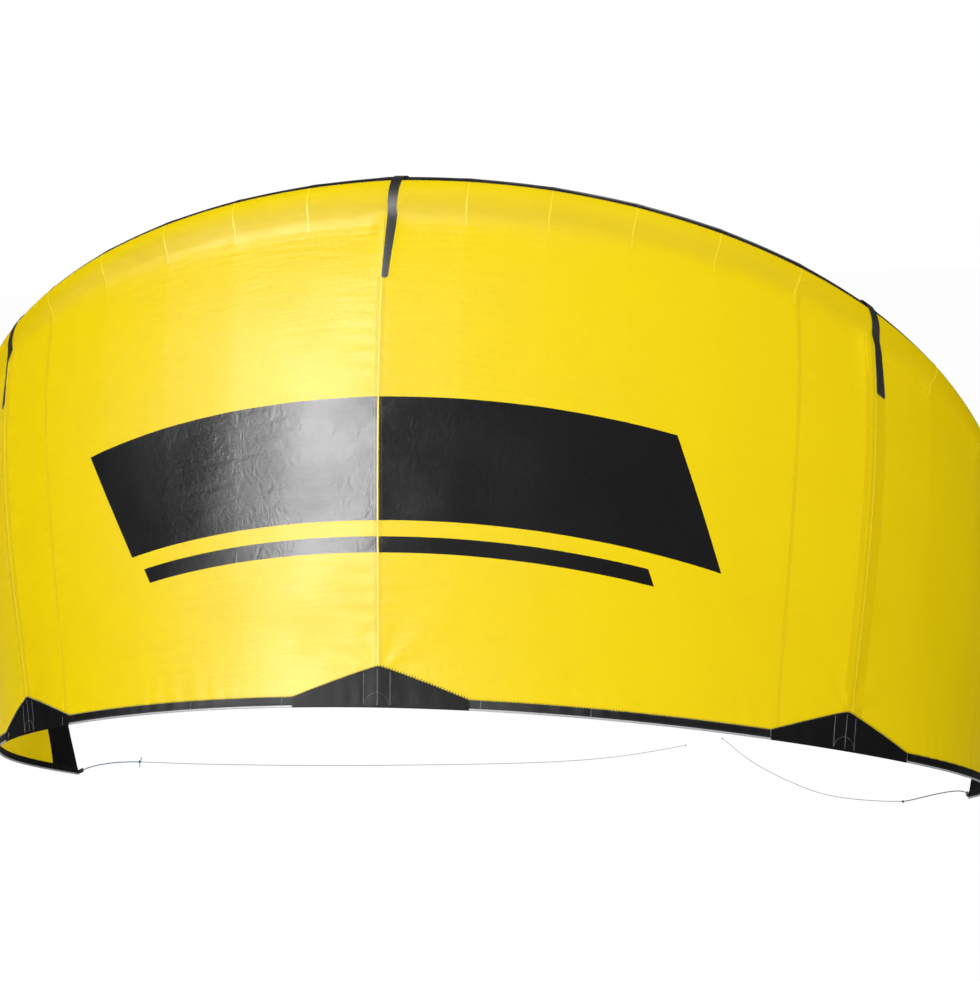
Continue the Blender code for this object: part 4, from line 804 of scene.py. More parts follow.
PIGTAIL_DIAMETER, LINE_DIAMETER = 0.004, 0.0024
PIGTAIL_LEAD = 0.10
PIGTAIL_POINTS, LINE_POINTS = 16, 28
REAR_TAB_WIDTH, REAR_TAB_LENGTH, REAR_TAB_THICKNESS = 0.018, 0.040, 0.003
REAR_TAB_SET = 0.0004
LINE_START_GAP = 0.0005
ROPE_SIDES, PIGTAIL_SIDES, KNOT_SIDES = 10, 12, 8
KNOT_STEPS, KNOT_FLATTEN, KNOT_ROPE_SHARE = 60, 0.8, 0.42
# Size of each knot and how far before the cord's end it lies
PIGTAIL_KNOT, LINE_KNOT = (0.0055, 0.012), (0.0036, 0.010)
# Direction and reach of the two free ends of the left knot
LEFT_TAILS = (((0.5, -0.4, 0.8), 0.034), ((-0.1, 0.1, -1.0), 0.026))
LEFT_ROUTE = [
    (-1.738, 1.707, -2.475),
    (-1.537, 1.905, -2.546), (-1.320, 2.121, -2.618), (-1.096, 2.350, -2.691), (-0.861, 2.593, -2.766),
    (-0.617, 2.851, -2.843), (-0.361, 3.126, -2.923), (-0.093, 3.418, -3.002), (0.141, 3.678, -3.060),
    (0.336, 3.896, -3.094), (0.523, 4.107, -3.119),
]
RIGHT_ROUTE = [
    (1.646, 1.707, -2.564),
    (1.559, 1.935, -2.646), (1.466, 2.178, -2.728), (1.366, 2.437, -2.809), (1.265, 2.701, -2.880),
    (1.146, 3.009, -2.944), (1.023, 3.327, -3.001), (0.891, 3.668, -3.047), (0.721, 4.107, -3.073),
]


def vector(values):
    return Vector([float(value) for value in values])


def local_frame(origin, x_axis, z_axis):
    y_axis = z_axis.cross(x_axis)
    rows = [(x_axis[k], y_axis[k], z_axis[k], origin[k]) for k in range(3)]
    return Matrix((*rows, (0.0, 0.0, 0.0, 1.0)))


def square_to(way, along):
    """The part of a direction that is square to another, as a unit vector."""
    return (way - along * way.dot(along)).normalized()


def rear_frame(side):
    """Frame at a tip's rear corner: X runs on past the tip's edge, Z out of the canopy."""
    tip = float(side)
    end = vector(surface(tip, 1.0))
    down = (end - vector(surface(tip, hem_top(tip)))).normalized()
    outward = square_to(vector(surface_normal(tip, 1.0)), down)
    along = down.cross(outward)
    if along.dot(end - vector(surface(tip * PANEL_SHARE, 1.0))) < 0:
        along = -along
    return local_frame(end + along * REAR_TAB_SET - down * (REAR_TAB_WIDTH / 2), along, outward)


def bezier(points, share):
    a, b, c, d = points
    rest = 1 - share
    return a * rest**3 + b * (3 * rest**2 * share) + c * (3 * rest * share**2) + d * share**3


def smooth_route(points, count):
    """A Catmull-Rom curve through the route's points, read at even steps of its parameter."""
    known = [Vector(point) for point in points]
    known = [2 * known[0] - known[1]] + known + [2 * known[-1] - known[-2]]
    made = []
    for k in range(count):
        place = (len(known) - 3) * k / (count - 1)
        index = min(int(place), len(known) - 4)
        t = place - index
        a, b, c, d = known[index:index + 4]
        bend = (a * 2 - b * 5 + c * 4 - d) * t**2
        twist = (b * 3 - a - c * 3 + d) * t**3
        made.append((b * 2 + (c - a) * t + bend + twist) / 2)
    return made


def swept(path, radius, sides, start):
    """Rings along a path that don't twist about it; start is any direction off the path's first one."""
    path = np.array([list(point) for point in path], float)
    along = unit(np.gradient(path, axis=0))
    across = np.cross(along[0], start)
    angle = np.linspace(0, 2 * math.pi, sides, endpoint=False)[:, None]
    rings = []
    for point, way in zip(path, along):
        across = unit(across - way * np.dot(across, way))
        rings.append(point + radius * (np.cos(angle) * across + np.sin(angle) * np.cross(way, across)))
    return np.array(rings)


def rope(name, path, radius, finish, sides=ROPE_SIDES):
    """A closed tube along a path, with UVs in metres."""
    rings = swept(path, radius, sides, (0.3, 0.2, 1.0))
    run = distances(np.array([list(point) for point in path], float))
    turn = np.linspace(0, 2 * math.pi * radius, sides + 1)
    x, y = np.meshgrid(run, turn, indexing="ij")
    faces = grid_faces(len(path), sides, wrap=True)[:, ::-1]
    uv = grid_uv(x, y).reshape(-1, 4, 2)[:, ::-1].reshape(-1, 2)
    return face_out(add_mesh(name, rings, faces.tolist(), [finish], uv))


def knot(name, centre, along, size, radius, finish, tails=()):
    """An overhand knot round a point: a trefoil whose two ends lie along the cord, with short tails."""
    along = along.normalized()
    across = along.orthogonal().normalized()
    third = along.cross(across)
    path = []
    for k in range(KNOT_STEPS + 1):
        t = 2 * math.pi * k / KNOT_STEPS
        x = (math.sin(t) + 2 * math.sin(2 * t)) / 3
        y = (math.cos(t) - 2 * math.cos(2 * t)) / 3
        z = -math.sin(3 * t) / 2.2
        path.append(centre + (across * x + third * y) * size * KNOT_FLATTEN + along * z * size)
    pieces = [rope(name, path, radius, finish, KNOT_SIDES)]
    for k, (way, reach) in enumerate(tails):
        out = Vector(way).normalized() * reach
        bend = centre + out * 0.5 + along * reach * 0.1
        tail = [bezier((centre, centre.lerp(bend, 0.6), bend, centre + out), step / 8) for step in range(9)]
        pieces.append(rope(f"{name}_tail_{k + 1}", tail, radius, finish, KNOT_SIDES))
    return pieces


def make_rear_lines():
    finishes = {-1: ("blue_cord", "blue_line", "blue_line"), 1: ("grey_cord", "grey_cord", "grey_line")}
    for (side, word), route in zip(SIDES, (LEFT_ROUTE, RIGHT_ROUTE)):
        cord_finish, line_finish, line_slot = finishes[side]
        place = rear_frame(side)
        start = place @ Vector((REAR_TAB_LENGTH + SEWN_GAP, 0, 0))
        knot_at = Vector(route[0])
        onward = (Vector(route[1]) - knot_at).normalized()
        leads = (Vector(place.col[0][:3]) * PIGTAIL_LEAD, onward * -PIGTAIL_LEAD)
        curve = (start, start + leads[0], knot_at + leads[1], knot_at)
        pigtail = [bezier(curve, k / (PIGTAIL_POINTS - 1)) for k in range(PIGTAIL_POINTS)]
        line = smooth_route(route, LINE_POINTS)
        line[0] = line[0] + (line[1] - line[0]).normalized() * LINE_START_GAP
        for kind, path, diameter, finish, sides, (size, back) in (
                ("pigtail", pigtail, PIGTAIL_DIAMETER, cord_finish, PIGTAIL_SIDES, PIGTAIL_KNOT),
                ("rear_line", line, LINE_DIAMETER, line_finish, ROPE_SIDES, LINE_KNOT)):
            body = rope(f"{word}_{kind}_cord", path, diameter / 2, FINISH[finish], sides)
            way = onward if kind == "pigtail" else (path[-1] - path[-2]).normalized()
            tails = LEFT_TAILS if kind == "pigtail" and side < 0 else ()
            stopper = knot(f"{word}_{kind}_knot", path[-1] - way * back, way, size,
                           diameter * KNOT_ROPE_SHARE, FINISH[finish], tails)
            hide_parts(f"{word}_{kind}")
            for piece in (body, *stopper):
                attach(piece, KITE)


# Canopy

CELL = 0.0085
CREST_ANGLE, CREST_GAIN, LAP_ROWS = math.radians(-43), math.radians(8), 14
CREST_EVEN, CREST_RUN = 0.15, 0.30


def crest_angle(share):
    """Where the canopy's cloth starts over the tube: a little lower towards the tips."""
    return CREST_ANGLE + CREST_GAIN * np.clip((np.abs(share) - CREST_EVEN) / CREST_RUN, 0.0, 1.0)


def lap_angles(u):
    """Rows of angles from the crest down to the canopy's seat."""
    rows = np.linspace(0.0, 1.0, LAP_ROWS, endpoint=False)[:, None]
    first = crest_angle(le_share(u))[None, :]
    return first + (ATTACH_ANGLE - first) * rows


def span_steps(low, high):
    """Span shares from low to high, close enough for the folds."""
    return spaced(low, high, CELL / SPAN_METRES)


def sewn_span(low, high):
    """The same for a piece with a sewn gap at each end."""
    return span_steps(low + SEWN_GAP / 2 / SPAN_METRES, high - SEWN_GAP / 2 / SPAN_METRES)


def even_length(u):
    """Chord length without the small steps at the tube's seams, for printed and woven patterns."""
    front = ring_points(le_share(u), ATTACH_ANGLE, CANOPY_SEAT)
    return np.linalg.norm(trailing_points(u) - front, axis=-1)


def flat_uv(u, v):
    return u * SPAN_METRES, v * even_length(u)


def dress(piece, slot_name, *nodes):
    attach(piece, KITE)
    if nodes:
        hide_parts(*nodes)
    return piece


def canopy_piece(name, low, high, finish, slot_name):
    """One bay of the canopy, from the crest of the tube, which it covers, to the trailing edge."""
    u = sewn_span(low, high)
    grid_v, grid_u = np.meshgrid(spaced(0.0, 1.0, CELL / 1.5), u, indexing="ij")
    x, y = flat_uv(grid_u, grid_v)
    angle = lap_angles(u)
    lap = tube_points(le_share(u)[None, :], angle, CANOPY_SEAT)
    lap_y = (angle - ATTACH_ANGLE) * tube_radius(le_share(u))[None, :]
    points = np.concatenate([lap, canopy_points(grid_u, grid_v)])
    x, y = np.concatenate([np.broadcast_to(x[:1], lap_y.shape), x]), np.concatenate([lap_y, y])
    piece = cloth_grid(f"{name}_cloth", points, x, y, CLOTH, [FINISH[finish]])
    return dress(piece, slot_name, name)


def flat_size(low, high):
    """Width, length and area of a bay's cut, measured along the arc."""
    u, v = spaced(low, high, 0.01), spaced(0.0, 1.0, 0.02)
    grid_v, grid_u = np.meshgrid(v, u, indexing="ij")
    points = surface(grid_u, grid_v)
    across = np.linalg.norm(np.diff(points, axis=1), axis=2).sum(axis=1)
    down = np.linalg.norm(np.diff(points, axis=0), axis=2).sum(axis=0)
    near, far = points[:-1, :-1], points[1:, 1:]
    cells = np.cross(points[1:, :-1] - near, points[:-1, 1:] - near)
    cells = cells + np.cross(points[:-1, 1:] - far, points[1:, :-1] - far)
    return float(across.max()), float(down.max()), float(np.linalg.norm(cells, axis=2).sum() / 2)


BAYS = four_spans(STRUT_TE_SHARE, PANEL_SHARE)
PANELS = (("left", -1.0, -PANEL_SHARE), ("right", PANEL_SHARE, 1.0))


def make_canopy():
    made = {}
    for word, low, high in BAYS:
        made[word] = canopy_piece(f"canopy_{word}", low, high, "canopy", "canopy_cloth")
    for word, low, high in PANELS:
        made[f"{word}_panel"] = canopy_piece(f"{word}_tip_panel", low, high, "black_cloth", "black_cloth")
    return made


def declare_canopy():
    for word, low, high in (*BAYS, *((f"{name}_panel", a, b) for name, a, b in PANELS)):
        width, length, area = flat_size(low, high)


# Overlays on the canopy: hem, patches, tapes

FOLD_ROWS, EDGE_TURNS = 9, np.radians(np.linspace(75, -75, 5))
BINDING_WIDTH = 0.0042
PATCH_HALF, PATCH_STEP, PATCH_SOFT, PATCH_POWER = 0.285, 0.0075, 0.010, 0.97
PATCH_STEP_DOWN = 0.006
HEM_SPANS = four_spans(STRUT_TE_SHARE, 1.0)


def folded(u, reach, back, lift):
    """A band folded round the trailing edge at span shares u.

    It starts reach metres up the outer side and ends back metres up the inner side, and lift gives its height
    for a distance from the edge. The second result is the distance along the band."""
    length, ones = chord_length(u), np.ones_like(u)
    normal = surface_normal(u, ones)
    edge = surface(u, ones) + normal * folds(u, ones)[..., None]
    drop = unit(edge - canopy_points(u, hem_top(u)))
    points = []
    for away in [reach * share for share in np.linspace(1.0, 0.0, FOLD_ROWS)]:
        points.append(canopy_points(u, 1 - away / length, lift(away)))
    for turned_by in EDGE_TURNS:
        points.append(edge + (normal * math.sin(turned_by) + drop * math.cos(turned_by)) * lift(0.0))
    for away in [back * share for share in np.linspace(0.0, 1.0, FOLD_ROWS)]:
        points.append(canopy_points(u, 1 - away / length, -lift(away)))
    points = np.stack(points, 0)
    steps = np.linalg.norm(np.diff(points, axis=0), axis=2)
    return points, np.concatenate([np.zeros((1, len(u))), np.cumsum(steps, axis=0)], 0)


def folded_piece(name, u, reach, back, lift, thickness, finish):
    points, distance = folded(u, reach * np.ones_like(u), back * np.ones_like(u), lift)
    x = np.broadcast_to(u * SPAN_METRES, distance.shape)
    return dress(cloth_grid(name, points, x, distance, thickness, [FINISH[finish]]), "black_cloth")


def hem_height(away):
    return np.full_like(away, HEM_LOW + HEM_THICK / 2)


def binding_height(away):
    return np.full_like(away, HEM_LOW + HEM_THICK + BINDING_THICK / 2 + LAYER_GAP)


def patch_height(away):
    """The patch lies over the hem, and beyond it on the canopy."""
    step = np.clip((away - HEM_WIDTH) / PATCH_STEP_DOWN, 0.0, 1.0)
    return PATCH_OVER_HEM + (PATCH_LOW + PATCH_THICK / 2 - PATCH_OVER_HEM) * step


def patch_reach(x):
    """Height of a patch's outline over the trailing edge, x metres from its strut."""
    peak = math.hypot(PATCH_HALF, PATCH_SOFT)
    slope = (peak - np.hypot(x, PATCH_SOFT)) / (peak - PATCH_SOFT)
    return HEM_WIDTH + (PATCH_HEIGHT - HEM_WIDTH) * np.clip(slope, 0.0, 1.0) ** PATCH_POWER


def between_patches(low, high, tip_gap=0.0):
    """A bay's span shares without those that the patches at its struts take up."""
    half = PATCH_HALF / SPAN_METRES
    return low + (half if low != -1.0 else tip_gap), high - (half if high != 1.0 else tip_gap)


def make_hems():
    """Folded tape along the trailing edge and its pale binding, which stops at the patches."""
    made = {}
    for word, low, high in HEM_SPANS:
        tape = folded_piece(f"hem_{word}_tape", sewn_span(low, high), HEM_WIDTH, HEM_WIDTH, hem_height,
                            HEM_THICK, "hem")
        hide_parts(f"hem_{word}")
        edge = folded_piece(f"binding_{word}", span_steps(*between_patches(low, high)), BINDING_WIDTH,
                            BINDING_WIDTH, binding_height, BINDING_THICK, "binding")
        made[word] = [tape, edge]
    return made


def make_patches():
    made = []
    for word, line in STRUT_WORDS:
        x = spaced(-PATCH_HALF, PATCH_HALF, PATCH_STEP)
        piece = folded_piece(f"{word}_patch_cloth", line + x / SPAN_METRES, patch_reach(x), HEM_WIDTH,
                             patch_height, PATCH_THICK, "patch")
        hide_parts(f"{word}_strut_patch")
        made.append(piece)
    return made


DART_END_SHARE = 0.142
DART_HALVES = {"left": (0.0150, 0.0195), "middle": (0.0185, 0.0095), "right": (0.0150, 0.0195)}
DART_CORNER = {"left": 0.006, "middle": 0.0095, "right": 0.006}
DART_ROWS, DART_SIDE_STEPS, DART_LEAST_HALF = 26, 13, 0.0003
# Portion of a dart from which its end is sewn, and the stitches' way in from its edge
DART_SEWN_FROM, DART_THREAD_INSET = 0.70, 0.0016
# Sideways place of each dart at its top and its end, which the left and right reach by a smooth swing
DART_PLACES = {"left": (0.085, -0.018), "middle": (0.034, 0.008), "right": (-0.026, 0.041)}
DART_HOLD, DART_SWING = 0.12, 0.46
DART_LIFTS = {"left": 0.0026, "middle": 0.0013, "right": 0.0026}
DART_TOP_ANGLE = math.radians(-96)


def tube_span(share):
    """Metres of leading edge to one share."""
    return float(np.linalg.norm(tube_axis(share + PROBE) - tube_axis(share - PROBE))) / (2 * PROBE)


def dart_line(line):
    """Stations down a dart: (distance, place function of a sideways step in metres and a height)."""
    share = float(le_share(np.array(line)))
    width = tube_span(share)
    stations, distance = [], 0.0
    angles = np.linspace(DART_TOP_ANGLE, ATTACH_ANGLE * 0.72, DART_ROWS)
    for before, angle in zip((angles[0], *angles), angles):
        distance += abs(angle - before) * float(tube_radius(share))
        stations.append((distance, "tube", angle))
    length = float(chord_length(np.array(line)))
    rows = DART_END_SHARE * (1 - (1 - np.linspace(0.03, 1.0, DART_ROWS)) ** 1.5)
    for before, v in zip((rows[0] - 0.006, *rows), rows):
        distance += (v - before) * length
        stations.append((distance, "canopy", v))
    return share, width, stations


def dart_place(word, portion):
    """Sideways place of a dart's middle for a portion of its length."""
    top, end = DART_PLACES[word]
    if word != "middle":
        portion = min(max((portion - DART_HOLD) / DART_SWING, 0.0), 1.0)
        portion = portion * portion * (3 - 2 * portion)
    return top + (end - top) * portion


def dart_points(word, line, stations, share, width, side_share, half, height):
    points = []
    total = stations[-1][0]
    lift = DART_LIFTS[word] + height
    for (distance, kind, value), reach in zip(stations, half):
        x = reach * side_share + dart_place(word, distance / total)
        if kind == "tube":
            points.append(tube_points(share + x / width, np.full_like(x, value), CANOPY_SEAT + lift))
        else:
            points.append(canopy_points(line + x / SPAN_METRES, np.full_like(x, value), lift))
    return np.array(points)


def make_darts():
    """Tapered strips from the top of the tube down each strut, with a rounded end."""
    made = []
    for word, line in STRUT_WORDS:
        share, width, stations = dart_line(line)
        total = stations[-1][0]
        side_share = np.linspace(-1.0, 1.0, DART_SIDE_STEPS)
        half = []
        for distance, _, _ in stations:
            top_half, end_half = DART_HALVES[word]
            taper = top_half + (end_half - top_half) * distance / total
            corner = DART_CORNER[word]
            left = max(total - distance, 0.0)
            if left < corner:
                taper = taper - corner + math.sqrt(max(corner**2 - (corner - left) ** 2, 0.0))
            half.append(max(taper, DART_LEAST_HALF))
        points = dart_points(word, line, stations, share, width, side_share, half, 0.0)
        x = np.array(half)[:, None] * side_share[None, :]
        y = np.broadcast_to(np.array([row[0] for row in stations])[:, None], x.shape)
        piece = cloth_grid(f"{word}_dart_cloth", points, x, y, DART_THICK, [FINISH["dart"]])
        made.append(dress(piece, "black_cloth", f"{word}_strut_dart"))
        low = int(len(stations) * DART_SEWN_FROM)
        sides = np.array([-1.0, 1.0])
        full = dart_points(word, line, stations, share, width, sides, np.array(half), DART_THICK)
        outline = np.concatenate([full[low:-1, 0], full[low:-1, 1][::-1]])
        middle = outline.mean(axis=0)
        outline = outline + unit(middle - outline) * DART_THREAD_INSET
        normals = np.tile(surface_normal(line, DART_END_SHARE), (len(outline), 1))
        sew(f"{word}_dart_thread", [run_of(outline, normals, 0.005)], "thread_grey", 0.0012)
    return made


STITCH_FILL = 0.62
ZIG_STEP, ZIG_LEAN = 0.0090, 0.45
PATCH_ROWS = (-0.048, -0.003, 0.037)
HEM_TICKS = (-0.580, -0.420, -0.215, -0.1045, 0.1045, 0.215, 0.4065, 0.5935)
# Half width of the pale rows in the patches and of the ticks over the hem, and the half ring in a patch
ROW_HALF, TICK_HALF, HALF_RING, HALF_RING_SHIFT = 0.0028, 0.0022, 0.040, -0.006


def at_distances(run, values, wanted):
    return np.stack([np.interp(wanted, run, values[:, k]) for k in range(3)], 1)


def run_of(points, normals, pitch):
    """Straight stitches along a line: their starts, ends and normals."""
    run, stitch = distances(points), pitch * STITCH_FILL
    start = np.arange(0.0, run[-1] - stitch, pitch)
    ends = at_distances(run, points, start), at_distances(run, points, start + stitch)
    return (*ends, unit(at_distances(run, normals, start)))


def zigzag_of(low, high, normals):
    """Stitches that cross from one line to the other and back; both lines have one point for each stitch."""
    even = (np.arange(len(low)) % 2 == 0)[:, None]
    path = np.where(even, low, high)
    return path[:-1], path[1:], unit(normals[:-1])


def sew(name, runs, finish, width):
    """Stitches as small flattened octahedra from their starts to their ends."""
    start, end, normal = (np.concatenate([run[k] for run in runs]) for k in range(3))
    middle = (start + end) / 2
    side = unit(np.cross(normal, end - start)) * width / 2
    rise = normal * width * 0.4
    corners = np.stack([start, end, middle + side, middle - side, middle + rise, middle - rise], 1)
    faces = []
    for a, b, c in ((0, 2, 4), (2, 1, 4), (1, 3, 4), (3, 0, 4), (2, 0, 5), (1, 2, 5), (3, 1, 5), (0, 3, 5)):
        faces.append(np.array([a, c, b]) + 6 * np.arange(len(start))[:, None])
    item = add_mesh(name, corners.reshape(-1, 3), np.concatenate(faces).tolist(), [FINISH[finish]])
    item.data.polygons.foreach_set("use_smooth", np.zeros(len(item.data.polygons), bool))
    return dress(item, "black_cloth")


def edge_teeth(u, near, far, height):
    """Separate stitches over a sewn edge, between two distances from the trailing edge."""
    length = chord_length(u)
    normals = surface_normal(u, 1 - near / length)
    lean = ZIG_STEP * ZIG_LEAN / SPAN_METRES
    ends = canopy_points(u, 1 - near / length, height), canopy_points(u + lean, 1 - far / length, height)
    return (*ends, unit(normals))


def canopy_run(u, v, height, pitch):
    return run_of(canopy_points(u, v, height), surface_normal(u, v), pitch)


def canopy_zigzag(u, v, half, height):
    """Stitches to and fro across a row down the canopy."""
    ends = [canopy_points(u + step / SPAN_METRES, v, height) for step in (-half, half)]
    return zigzag_of(*ends, surface_normal(u, v))


def make_hem_threads():
    """Zigzag over the hem's upper edge, round the patches, and pale rows and half rings in them."""
    black, pale = [], []
    for _, low, high in HEM_SPANS:
        u = spaced(*between_patches(low, high, 0.002), ZIG_STEP / SPAN_METRES)
        black.append(edge_teeth(u, HEM_WIDTH - 0.004, HEM_WIDTH + 0.0055, HEM_LOW + HEM_THICK + 0.0003))
        black.append(canopy_run(u, 1 - 0.008 / chord_length(u), HEM_LOW + HEM_THICK + 0.0002, 0.006))
    for _, line in STRUT_WORDS:
        x = spaced(-PATCH_HALF, PATCH_HALF, ZIG_STEP)
        reach, u = patch_reach(x), line + x / SPAN_METRES
        black.append(edge_teeth(u, reach - 0.004, reach + 0.006, PATCH_OVER_HEM + 0.0008))
        for row in PATCH_ROWS:
            away = spaced(0.006, float(patch_reach(row)) - 0.006, 0.0045)
            height = patch_height(away) + PATCH_THICK / 2 + 0.0002
            u, v = np.full_like(away, line + row / SPAN_METRES), 1 - away / chord_length(np.array(line))
            pale.append(canopy_zigzag(u, v, ROW_HALF, height))
        turn = np.linspace(0, math.pi, 30)
        u = line + (HALF_RING_SHIFT + HALF_RING * np.cos(turn)) / SPAN_METRES
        away = 0.004 + HALF_RING * np.sin(turn)
        pale.append(canopy_run(u, 1 - away / chord_length(u), PATCH_OVER_HEM + PATCH_THICK, 0.006))
    away = np.linspace(0.001, HEM_WIDTH - 0.001, 9)
    for share in HEM_TICKS:
        u = np.full_like(away, share)
        pale.append(canopy_zigzag(u, 1 - away / chord_length(u), TICK_HALF, PATCH_OVER_HEM + PATCH_THICK))
    sew("hem_thread", black, "thread_black", 0.0036)
    sew("patch_thread", pale, "thread_grey", 0.0013)


TAPE_TOPS = {"left": 0.012, "middle": 0.138, "right": 0.012}
STRUT_TAPE_HALF = {"left": 0.031, "middle": 0.0125, "right": 0.042}
STRUT_TAPE_SHIFT = {"left": 0.0, "middle": 0.0, "right": 0.020}
SEAM_PIPE_HALF, SEAM_PIPE_FOOT, SEAM_PIPE_FLAT = 0.0022, 0.003, 0.004
SEAM_PIPE_RISE = {"left": 0.0011, "middle": 0.0004, "right": 0.0011}
PANEL_TAPE_HALF, TAPE_STEP, THREAD_INSET, THREAD_STEP = 0.007, 0.0085, 0.002, 0.02
# Angles round the tube between which its seams' stitches show, and their distance from the seam
RING_FROM, RING_TO, RING_APART = math.radians(50), math.radians(285), 0.0045
CREST_END, CREST_STITCH = 0.995, 0.0075 / 3.645
SEAM_LINE_HALF, SEAM_LINE_RUN, SEAM_LINE_STEP, SEAM_LINE_THICK = 0.0018, 0.045, 0.008, 0.0003
# The middle seam line stands aside of the dart
SEAM_LINE_LIFT, SEAM_LINE_ASIDE = np.array([0.0006, 0.0009, 0.0006]), 0.022


def down_canopy(line, top, bottom, step):
    """Chord shares down the canopy, from a share to a distance over the trailing edge, step metres apart."""
    length = float(chord_length(line))
    return spaced(top, 1 - bottom / length, step / length)


def make_seam_threads():
    """Double rows along the panel seams and the edges of the strut tapes, and round the tube's seams."""
    rows, rings = [], []
    half = PANEL_TAPE_HALF - THREAD_INSET
    places = [(line, 0.010, HEM_WIDTH + 0.006, 0.0012, (-half, half)) for line in PANEL_SEAMS]
    for word, line in STRUT_WORDS:
        half, shift = STRUT_TAPE_HALF[word] - THREAD_INSET, STRUT_TAPE_SHIFT[word]
        steps = (shift - half, shift - 0.005, shift + 0.005, shift + half)
        places.append((line, TAPE_TOPS[word] + 0.004, PATCH_HEIGHT - 0.004, 0.0013, steps))
    for line, top, bottom, height, steps in places:
        v = down_canopy(line, top, bottom, THREAD_STEP)
        for step in steps:
            rows.append(canopy_run(np.full_like(v, line + step / SPAN_METRES), v, height, 0.0055))
    sew("canopy_thread", rows, "thread_yellow", 0.0009)
    turn = np.linspace(RING_FROM, RING_TO, 90)
    for seam in all_seams()[1:-1]:
        centre, tangent, _, _ = tube_frames(seam)
        for step in (-RING_APART, RING_APART):
            line = tube_points(np.full_like(turn, seam), turn, SEAM_RISE + 0.0002) + tangent * step
            rings.append(run_of(line, unit(line - centre), 0.007))
    sew("tube_thread", rings, "thread_dark", 0.0011)
    share = spaced(-CREST_END, CREST_END, CREST_STITCH)
    ends = []
    for reach in (-0.0015, 0.0045):
        ends.append(tube_points(share, crest_angle(share) + reach / tube_radius(share), CANOPY_SEAT + 0.0007))
    sew("crest_thread", [zigzag_of(*ends, unit(ends[0] - tube_axis(share)))], "thread_black", 0.0018)


def canopy_strip(name, line, x, v, lift, finishes, face_finish=None):
    """A tape down the canopy, on places x metres aside of a span share, lift metres over the cloth."""
    grid_v, grid_x = np.meshgrid(v, x, indexing="ij")
    share = line + grid_x / SPAN_METRES
    points = canopy_points(share, grid_v, lift + TAPE_LOW + TAPE_THICK / 2)
    finishes = [FINISH[finish] for finish in finishes]
    piece = cloth_grid(name, points, *flat_uv(share, grid_v), TAPE_THICK, finishes, 0.0, face_finish)
    return dress(piece, "canopy_cloth")


def make_seam_tapes():
    """Tapes along the struts with a raised seam between them, and along the panel seams."""
    made = []
    for word, line in STRUT_WORDS:
        half = STRUT_TAPE_HALF[word]
        v = down_canopy(line, TAPE_TOPS[word], PATCH_HEIGHT - 0.012, TAPE_STEP)
        x = np.array([0.0, SEAM_PIPE_HALF, SEAM_PIPE_FLAT, half * 0.3, half * 0.6, half])
        x = np.concatenate([-x[:0:-1], x])
        lift = SEAM_PIPE_RISE[word] * np.maximum(1 - np.abs(x) / SEAM_PIPE_FOOT, 0.0)
        # Faces of the raised seam, which take the paler yellow as a painted highlight
        pale = np.abs((x[1:] + x[:-1]) / 2) < SEAM_PIPE_FOOT
        # Painted shade: the tapes are a darker yellow than the canopy
        made.append(canopy_strip(f"{word}_strut_tape", line, x + STRUT_TAPE_SHIFT[word], v, lift,
                                 ("tape", "seam_light"), np.tile(pale, len(v) - 1).astype(int)))
    for k, line in enumerate(PANEL_SEAMS):
        v = down_canopy(line, 0.006, HEM_WIDTH + 0.002, TAPE_STEP)
        x = np.linspace(-PANEL_TAPE_HALF, PANEL_TAPE_HALF, 5)
        made.append(canopy_strip(f"panel_seam_{k + 1}_tape", line, x, v, 0.0, ("tape",)))
    return made


def make_seam_lines():
    """Folded seams of the lapped cloth, one over each seam of the tube."""
    ends = (STRUT_LE_SHARE, 1.0)
    plain = [seam for seam in all_seams() if min(abs(abs(seam) - end) for end in ends) > PROBE]
    for k, seam in enumerate(plain):
        line = float(te_share(seam))
        x = np.array([-SEAM_LINE_HALF, 0.0, SEAM_LINE_HALF]) + (SEAM_LINE_ASIDE if abs(seam) < PROBE else 0.0)
        u = line + x / SPAN_METRES
        top = tube_points(le_share(u)[None, :], lap_angles(u), CANOPY_SEAT + SEAM_LINE_LIFT)
        length = float(chord_length(line))
        v = spaced(0.0, SEAM_LINE_RUN / length, SEAM_LINE_STEP / length)
        grid_v, grid_u = np.meshgrid(v, u, indexing="ij")
        points = np.concatenate([top, canopy_points(grid_u, grid_v, SEAM_LINE_LIFT)])
        run = np.arange(len(points))[:, None] * SEAM_LINE_STEP * np.ones(3)
        # The folded seams take the paler yellow, a painted highlight
        piece = cloth_grid(f"seam_line_{k + 1}", points, np.broadcast_to(x, run.shape), run, SEAM_LINE_THICK,
                           [FINISH["seam_light"]])
        dress(piece, "canopy_cloth")


# Struts

STRUT_SIDES = 40
STRUT_STATIONS = 40
STRUT_WALL = 0.0008
HALVINGS = 24
COLLAR_LENGTH, STRUT_TAIL_LENGTH = 0.090, 0.060
MOUTH_ROWS, STRUT_END_ROWS = (0.0, 0.15, 0.35, 0.6, 0.85), (0.45, 0.75, 0.93, 0.995)
STRUT_END_LENGTH = 0.012
FILM_WALL, FILM_INSET, FILM_SIDES = 0.0004, 0.0023, 20


def strut_radius(v):
    return STRUT_RADIUS_FRONT + (STRUT_RADIUS_REAR - STRUT_RADIUS_FRONT) * v


def strut_centre(u, v):
    reach = STRUT_SEAT + strut_radius(v)
    return surface(u, v) - surface_normal(u, v) * reach[..., None]


def strut_span(u):
    """Chord shares of the strut's first and last rings, as the part has them."""
    length = float(chord_length(np.array(u)))
    patch_top, hem = 1 - PATCH_HEIGHT / length, 1 - HEM_WIDTH / length
    return DART_ROW_SHARE, patch_top + ((patch_top + hem) / 2 - patch_top) * STRUT_END_SHARE


